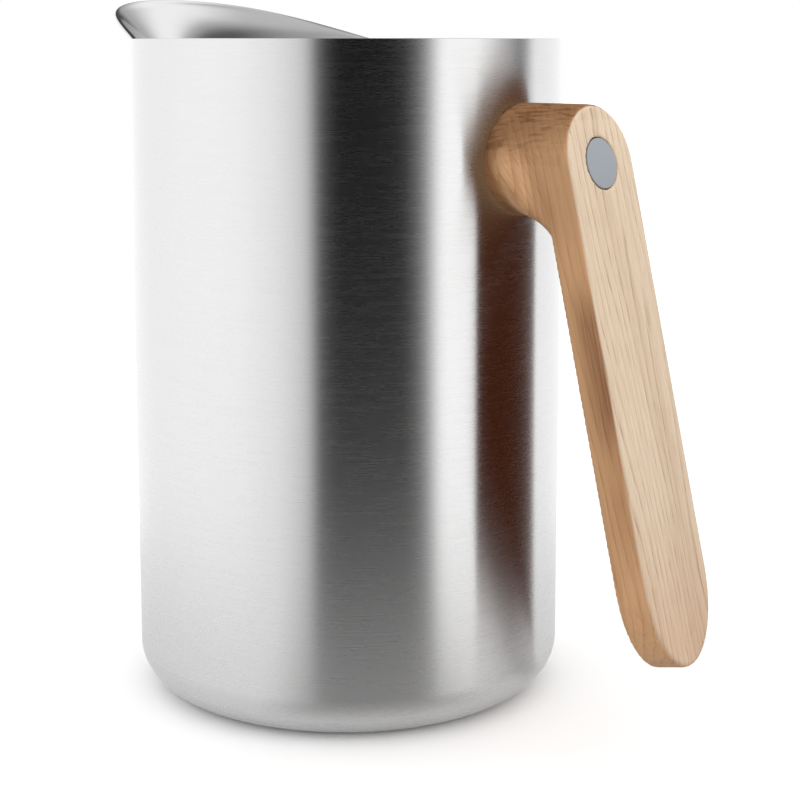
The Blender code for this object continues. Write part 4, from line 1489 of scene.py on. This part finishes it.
@dataclass
class Studio:
    """White surroundings with dark gaps, a floor, lamps, doubles of the handle and the camera.

    Attributes:
        azimuth: Direction of the camera from the jug, in degrees from -Y towards +X.
        distance: Level distance of the camera from the jug's axis.
        height: Height of the camera.
        pitch: Angle of the view below level, in degrees.
        yaw: Turn of the view to the right, in degrees.
        lens: Focal length in millimetres.
        shift: Lens shift upwards, as a share of the frame.
        ambient: Brightness that lights matt surfaces.
        lamp_distance: Distance of the lamps from the jug's middle.
        lamp_aim: Height of that middle.
        lamp_size: Width of a lamp's square face.
        floor_tone: Reflectance of the floor.
        floor_gain: How much brighter the floor is to the camera than it is to matt surfaces.
        floor_shine: How much brighter it is to metal.
        floor_glow: Painted light that the floor gives off for metal beside the foot.
        floor_patches: Patches of painted shade on the floor that metal sees: the angle of each
        to the right of the camera, its half-widths inside and outside its soft edge, all in
        degrees, and its darkness. The second is a painted shadow of the handle.
        card_aside: Distance of the leg's double to the camera's right of the axis.
        overhead: Brightness straight above; metal sees between 1.2 and 2 times this there.
        level: Brightness that metal sees near the horizon, by angle to the right of the camera in
            degrees.
        raised: The same, half-way up to the zenith.
        lean_from: Height in degrees at which the raised bands stand where their angles say.
        lean: How far they lean to the left for each degree of height.
        lean_above: How much more they do above that height.
        gaps: Parts of the dark gap behind the jug: the angles from the camera, in degrees,
            where each starts and is full, and its darkness.
    """

    azimuth: float = 41.19
    distance: float = 0.4738
    height: float = 0.1739
    pitch: float = 8.339
    yaw: float = 1.724
    lens: float = 78.96
    shift: float = -0.125
    ambient: float = 0.55
    lamp_distance: float = 0.9
    lamp_aim: float = 0.09
    lamp_size: float = 0.7
    floor_tone: float = 0.80
    floor_gain: float = 2.8
    floor_shine: float = 2.0
    floor_glow: float = 0.08
    floor_patches: tuple[tuple[float, float, float, float], ...] = (
        # Painted shade in front of the jug, then a painted shadow of the handle
        (9.0, 20.0, 42.0, 0.51),
        (73.0, 3.0, 11.0, 0.30),
    )
    card_aside: float = 0.090
    overhead: float = 0.33
    level: tuple[tuple[float, float], ...] = (
        (-180.0, 1.12), (-125.0, 1.13), (-95.0, 1.20), (-75.0, 1.225), (-57.0, 1.20),
        (-39.0, 1.06), (-29.0, 0.89), (-22.0, 0.71), (-18.5, 0.40), (-15.0, 0.05),
        (-11.0, 0.02), (-4.0, 0.0), (22.0, 0.0), (30.0, 0.0), (37.0, 0.08),
        (41.5, 0.25), (45.0, 0.62), (49.0, 1.18), (53.0, 1.34), (60.0, 1.29),
        (70.0, 1.38), (79.0, 1.14), (88.5, 0.70), (101.0, 0.28), (107.0, 0.38),
        (112.0, 0.85), (117.0, 1.15), (125.0, 1.12), (180.0, 1.10),
    )
    raised: tuple[tuple[float, float], ...] = (
        (-180.0, 1.10), (-30.0, 1.00), (-15.5, 0.0), (30.0, 0.0), (44.0, 1.10),
        (54.0, 1.32), (74.0, 1.28), (86.0, 1.00), (98.0, 0.20), (108.0, 0.09),
        (130.5, 0.09), (132.5, 0.26), (134.0, 0.46), (137.3, 0.54), (139.5, 1.08),
        (143.0, 1.18), (180.0, 1.10),
    )
    lean_from: float = 49.0
    lean: float = 0.3
    lean_above: float = 0.35
    gaps: tuple[tuple[float, float, float], ...] = ((151.0, 167.0, 0.58), (168.0, 175.0, 0.36))

    def build(self) -> None:
        """Set up the view, the surroundings, the floor, the lamps and the doubles."""
        bpy.context.scene.view_settings.view_transform = "Standard"
        self.build_camera()
        self.build_world()
        unlit = bpy.data.collections.new("unlit_by_lamps")
        unlit.objects.link(self.build_floor())
        unlit.collection_objects[0].light_linking.link_state = "EXCLUDE"
        self.build_lamp("key", 72.0, 36.0, 4.2, unlit)
        self.build_lamp("fill", -42.0, 38.0, 1.9, unlit)
        self.build_doubles()

    def towards(self) -> Vector:
        """Give the level direction from the jug to the camera."""
        angle = math.radians(self.azimuth)
        return Vector((math.sin(angle), -math.cos(angle), 0.0))

    def rightwards(self) -> Vector:
        """Give the level direction to the camera's right."""
        angle = math.radians(self.azimuth)
        return Vector((math.cos(angle), math.sin(angle), 0.0))

    def bearing(self, bench: Bench, vector: Socket) -> Socket:
        """Measure a vector's angle to the right of the camera."""
        ahead, aside = bench.dot(vector, self.towards()), bench.dot(vector, self.rightwards())
        return bench.maths("ARCTAN2", aside, ahead)

    def mirrored(self, bench: Bench, path: bpy.types.Node) -> Socket:
        """Tell whether a ray comes from metal, with no matt surface before it."""
        direct = bench.maths("LESS_THAN", path.outputs["Diffuse Depth"], 0.5)
        return bench.product(direct, path.outputs["Is Glossy Ray"])

    def tones(self, bands: tuple[tuple[float, float], ...]) -> list[tuple[float, Colour]]:
        """List bands of brightness as stops of a ramp over a full turn."""
        return [((degrees + 180.0) / 360.0, (tone, tone, tone)) for degrees, tone in bands]

    def build_camera(self) -> None:
        """Place the camera at the photograph's angle."""
        data = bpy.data.cameras.new("photo_camera")
        data.lens = self.lens
        data.sensor_width = 36.0
        data.shift_y = self.shift
        data.clip_start = 0.01
        camera = bpy.data.objects.new("photo_camera", data)
        bpy.context.scene.collection.objects.link(camera)
        yaw, pitch = math.radians(self.yaw), math.radians(self.pitch)
        level = self.rightwards() * math.sin(yaw) - self.towards() * math.cos(yaw)
        aim = level * math.cos(pitch) - Vector((0.0, 0.0, math.sin(pitch)))
        camera.location = self.towards() * self.distance + Vector((0.0, 0.0, self.height))
        camera.rotation_euler = aim.to_track_quat("-Z", "Y").to_euler()
        bpy.context.scene.camera = camera

    def build_world(self) -> None:
        """Make the surroundings: white to the camera, banded to metal, even to the rest."""
        world = bpy.data.worlds.new("white_studio")
        world.use_nodes = True
        world.cycles.sampling_method = "NONE"
        bpy.context.scene.world = world
        bench = Bench(world.node_tree)
        path = bench.add("ShaderNodeLightPath")
        lit = bench.blend(self.mirrored(bench, path), (self.ambient,) * 3, self.bands(bench))
        lit = bench.blend(path.outputs["Is Camera Ray"], lit, (1.0, 1.0, 1.0))
        background = world.node_tree.nodes["Background"]
        bench.put(background.inputs["Color"], lit)
        background.inputs["Strength"].default_value = 1.0

    def bands(self, bench: Bench) -> Socket:
        """Band the surroundings round the jug, with dark gaps that show as dark bars in the metal.

        Args:
            bench: The world's bench.

        Returns:
            The brightness, as a colour.
        """
        direction = bench.add("ShaderNodeTexCoord").outputs["Generated"]
        angle = self.bearing(bench, direction)
        place = bench.maths("MULTIPLY_ADD", angle, 1.0 / math.tau, 0.5)
        rise = bench.maths("ARCSINE", bench.dot(direction, (0.0, 0.0, 1.0)))
        lift = bench.maths("SUBTRACT", rise, math.radians(self.lean_from))
        lean = bench.product(bench.maths("MAXIMUM", lift, 0.0), self.lean_above)
        lean = bench.maths("MULTIPLY_ADD", lift, self.lean, lean)
        leant = bench.maths("MULTIPLY_ADD", lean, 1.0 / math.tau, place)
        level = bench.ramp(place, self.tones(self.level))
        raised = bench.ramp(leant, self.tones(self.raised))
        bands = bench.blend(bench.swept(rise, 6.0, 30.0, 0.0, 1.0), level, raised)
        behind = bench.maths("ABSOLUTE", angle)
        gap: Any = 0.0
        for start, full, darkness in self.gaps:
            gap = bench.maths("ADD", gap, bench.swept(behind, start, full, 0.0, darkness))
        gap = bench.product(gap, bench.swept(rise, 6.0, 14.0, 0.0, 1.0))
        bands = bench.blend(gap, bands, (0.0, 0.0, 0.0))
        brightest = bench.swept(rise, 30.0, 62.0, 2.0, 2.0 * self.overhead)
        darkest = bench.swept(rise, 45.0, 80.0, 0.0, 1.2 * self.overhead)
        bands = bench.blend(1.0, bands, brightest, "DARKEN")
        return bench.blend(1.0, bands, darkest, "LIGHTEN")

    def staged(self, name: str, builder: Mesh, look: str) -> tuple[bpy.types.Object, Bench]:
        """Put a piece on the stage, with a new material.

        Args:
            name: Its name.
            builder: Its mesh, which is freed.
            look: The material's name.

        Returns:
            The object, and the bench of its material.
        """
        mesh = bpy.data.meshes.new(name)
        builder.to_mesh(mesh)
        builder.free()
        piece = bpy.data.objects.new(name, mesh)
        bpy.context.scene.collection.objects.link(piece)
        material = bpy.data.materials.new(look)
        material.use_nodes = True
        mesh.materials.append(material)
        return piece, Bench(material.node_tree)

    def clear(self, bench: Bench, share: Socket, shader: bpy.types.Node) -> None:
        """Let a share of a stage piece's surface be clear.

        Args:
            bench: The material's bench.
            share: The share.
            shader: The shader of the rest.
        """
        clear = bench.add("ShaderNodeBsdfTransparent").outputs[0]
        mixed = bench.add("ShaderNodeMixShader", {0: share, 1: shader.outputs[0], 2: clear})
        bench.put(bench.tree.nodes["Material Output"].inputs["Surface"], mixed.outputs[0])

    def build_floor(self) -> bpy.types.Object:
        """Lay the floor: white to the camera with the jug's shadow, open to metal further away.

        Returns:
            The floor.
        """
        builder = bmesh.new()
        bmesh.ops.create_grid(builder, x_segments=1, y_segments=1, size=4.0)
        floor, bench = self.staged("floor", builder, "white_floor")
        path = bench.add("ShaderNodeLightPath")
        mirrored = self.mirrored(bench, path)
        position = bench.add("ShaderNodeNewGeometry").outputs["Position"]
        away = bench.length(position)
        near = bench.ranged(away, 0.056, 0.070, 1.0, 0.0)
        dim = bench.product(self.dimming(bench, position), bench.remainder(near))
        gains = (1.0, self.floor_gain, self.floor_shine)
        plain, to_camera, to_metal = ((self.floor_tone * gain,) * 3 for gain in gains)
        tone = bench.blend(path.outputs["Is Camera Ray"], plain, to_camera)
        tone = bench.blend(mirrored, tone, bench.blend(dim, to_metal, (0.0, 0.0, 0.0)))
        shader = bench.tree.nodes["Principled BSDF"]
        shader.inputs["Specular IOR Level"].default_value = 0.0
        shader.inputs["Roughness"].default_value = 1.0
        shader.inputs["Emission Color"].default_value = (1.0, 1.0, 1.0, 1.0)
        bench.put(shader.inputs["Base Color"], tone)
        # Painted light: beside the foot the floor glows for metal only
        glow = bench.product(near, self.floor_glow, mirrored)
        bench.put(shader.inputs["Emission Strength"], glow)
        far = bench.ranged(away, 0.14, 0.22, 0.0, 1.0)
        self.clear(bench, bench.product(far, mirrored), shader)
        return floor

    def dimming(self, bench: Bench, position: Socket) -> Socket:
        """Mask the patches of painted shade on the floor that metal sees.

        Args:
            bench: The floor's bench.
            position: A point of the floor.

        Returns:
            The darkness.
        """
        angle = self.bearing(bench, position)
        dim: Any = 0.0
        for middle, inner, outer, darkness in self.floor_patches:
            off = bench.maths("SUBTRACT", angle, math.radians(middle))
            patch = bench.swept(bench.maths("ABSOLUTE", off), inner, outer, darkness, 0.0)
            dim = bench.maths("MAXIMUM", dim, patch)
        return dim

    def build_doubles(self) -> None:
        """Stand brown doubles of the handle where the body mirrors it in the photograph."""
        # Painted reflections of the handle, each a fixed brown glow, dark where it is in shade
        boss = rod(0.0140, (0.057, 0.0, 0.1453), (0.079, 0.0, 0.1453), 48)
        root = rod(0.0150, (0.066, 0.006, 0.1512), (0.078, 0.006, 0.1512), 48)
        leg = self.card(0.0685, 0.0095, (0.023, 0.006), 0.146)
        self.build_double("boss_double", boss, (0.19, 0.11, 0.06))
        self.build_double("root_double", root, (0.13, 0.050, 0.024))
        self.build_double("leg_double", leg, (0.060, 0.016, 0.007))

    def card(self, start: float, end: float, feet: tuple[float, float], high: float) -> Mesh:
        """Cut an upright card that stands to the camera's right of the axis.

        Args:
            start: Distance of its near edge from the axis, towards the camera.
            end: The same of its far edge.
            feet: Heights of its foot at those two edges.
            high: Height of its top.

        Returns:
            The mesh.
        """
        builder = bmesh.new()
        for ahead, height in ((start, feet[0]), (start, high), (end, high), (end, feet[1])):
            point = self.towards() * ahead + self.rightwards() * self.card_aside
            builder.verts.new((point.x, point.y, height))
        bmesh.ops.contextual_create(builder, geom=builder.verts)
        return builder

    def build_double(self, name: str, builder: Mesh, tone: Colour) -> None:
        """Make a painted reflection: a stage piece that glows and that only metal sees.

        Args:
            name: Its name, and its material's.
            builder: Its mesh, which is freed.
            tone: Its brightness.
        """
        double, bench = self.staged(name, builder, name)
        double.visible_camera = double.visible_diffuse = double.visible_shadow = False
        double.active_material.cycles.emission_sampling = "NONE"
        depth = bench.add("ShaderNodeLightPath").outputs["Diffuse Depth"]
        self.clear(bench, depth, bench.add("ShaderNodeEmission", {"Color": tone}))

    def build_lamp(
        self, name: str, side: float, lift: float, power: float, unlit: bpy.types.Collection
    ) -> None:
        """Hang a soft lamp that lights matt surfaces.

        Args:
            name: Its name.
            side: Angle to the right of the camera, in degrees.
            lift: Angle above level, in degrees.
            power: Its power in watts.
            unlit: What it doesn't light.
        """
        data = bpy.data.lights.new(name, "AREA")
        data.size = self.lamp_size
        data.energy = power
        lamp = bpy.data.objects.new(name, data)
        bpy.context.scene.collection.objects.link(lamp)
        around, above = math.radians(side), math.radians(lift)
        level = self.towards() * math.cos(around) + self.rightwards() * math.sin(around)
        out = level * math.cos(above) + Vector((0.0, 0.0, math.sin(above)))
        lamp.location = Vector((0.0, 0.0, self.lamp_aim)) + out * self.lamp_distance
        lamp.rotation_euler = (-out).to_track_quat("-Z", "Y").to_euler()
        lamp.visible_glossy = False
        lamp.light_linking.receiver_collection = unlit


def main() -> None:
    """Build the studio and every sub-assembly."""
    logging.basicConfig(level=logging.INFO, format="%(name)s: %(message)s")
    Studio().build()
    kinds = (OuterShell, PouringCollar, BaseAndFlask, OakHandle, PushInLid, TippingFlap)
    for kind in kinds:
        kind().build()
    bpy.context.view_layer.update()


if __name__ == "__main__":
    main()
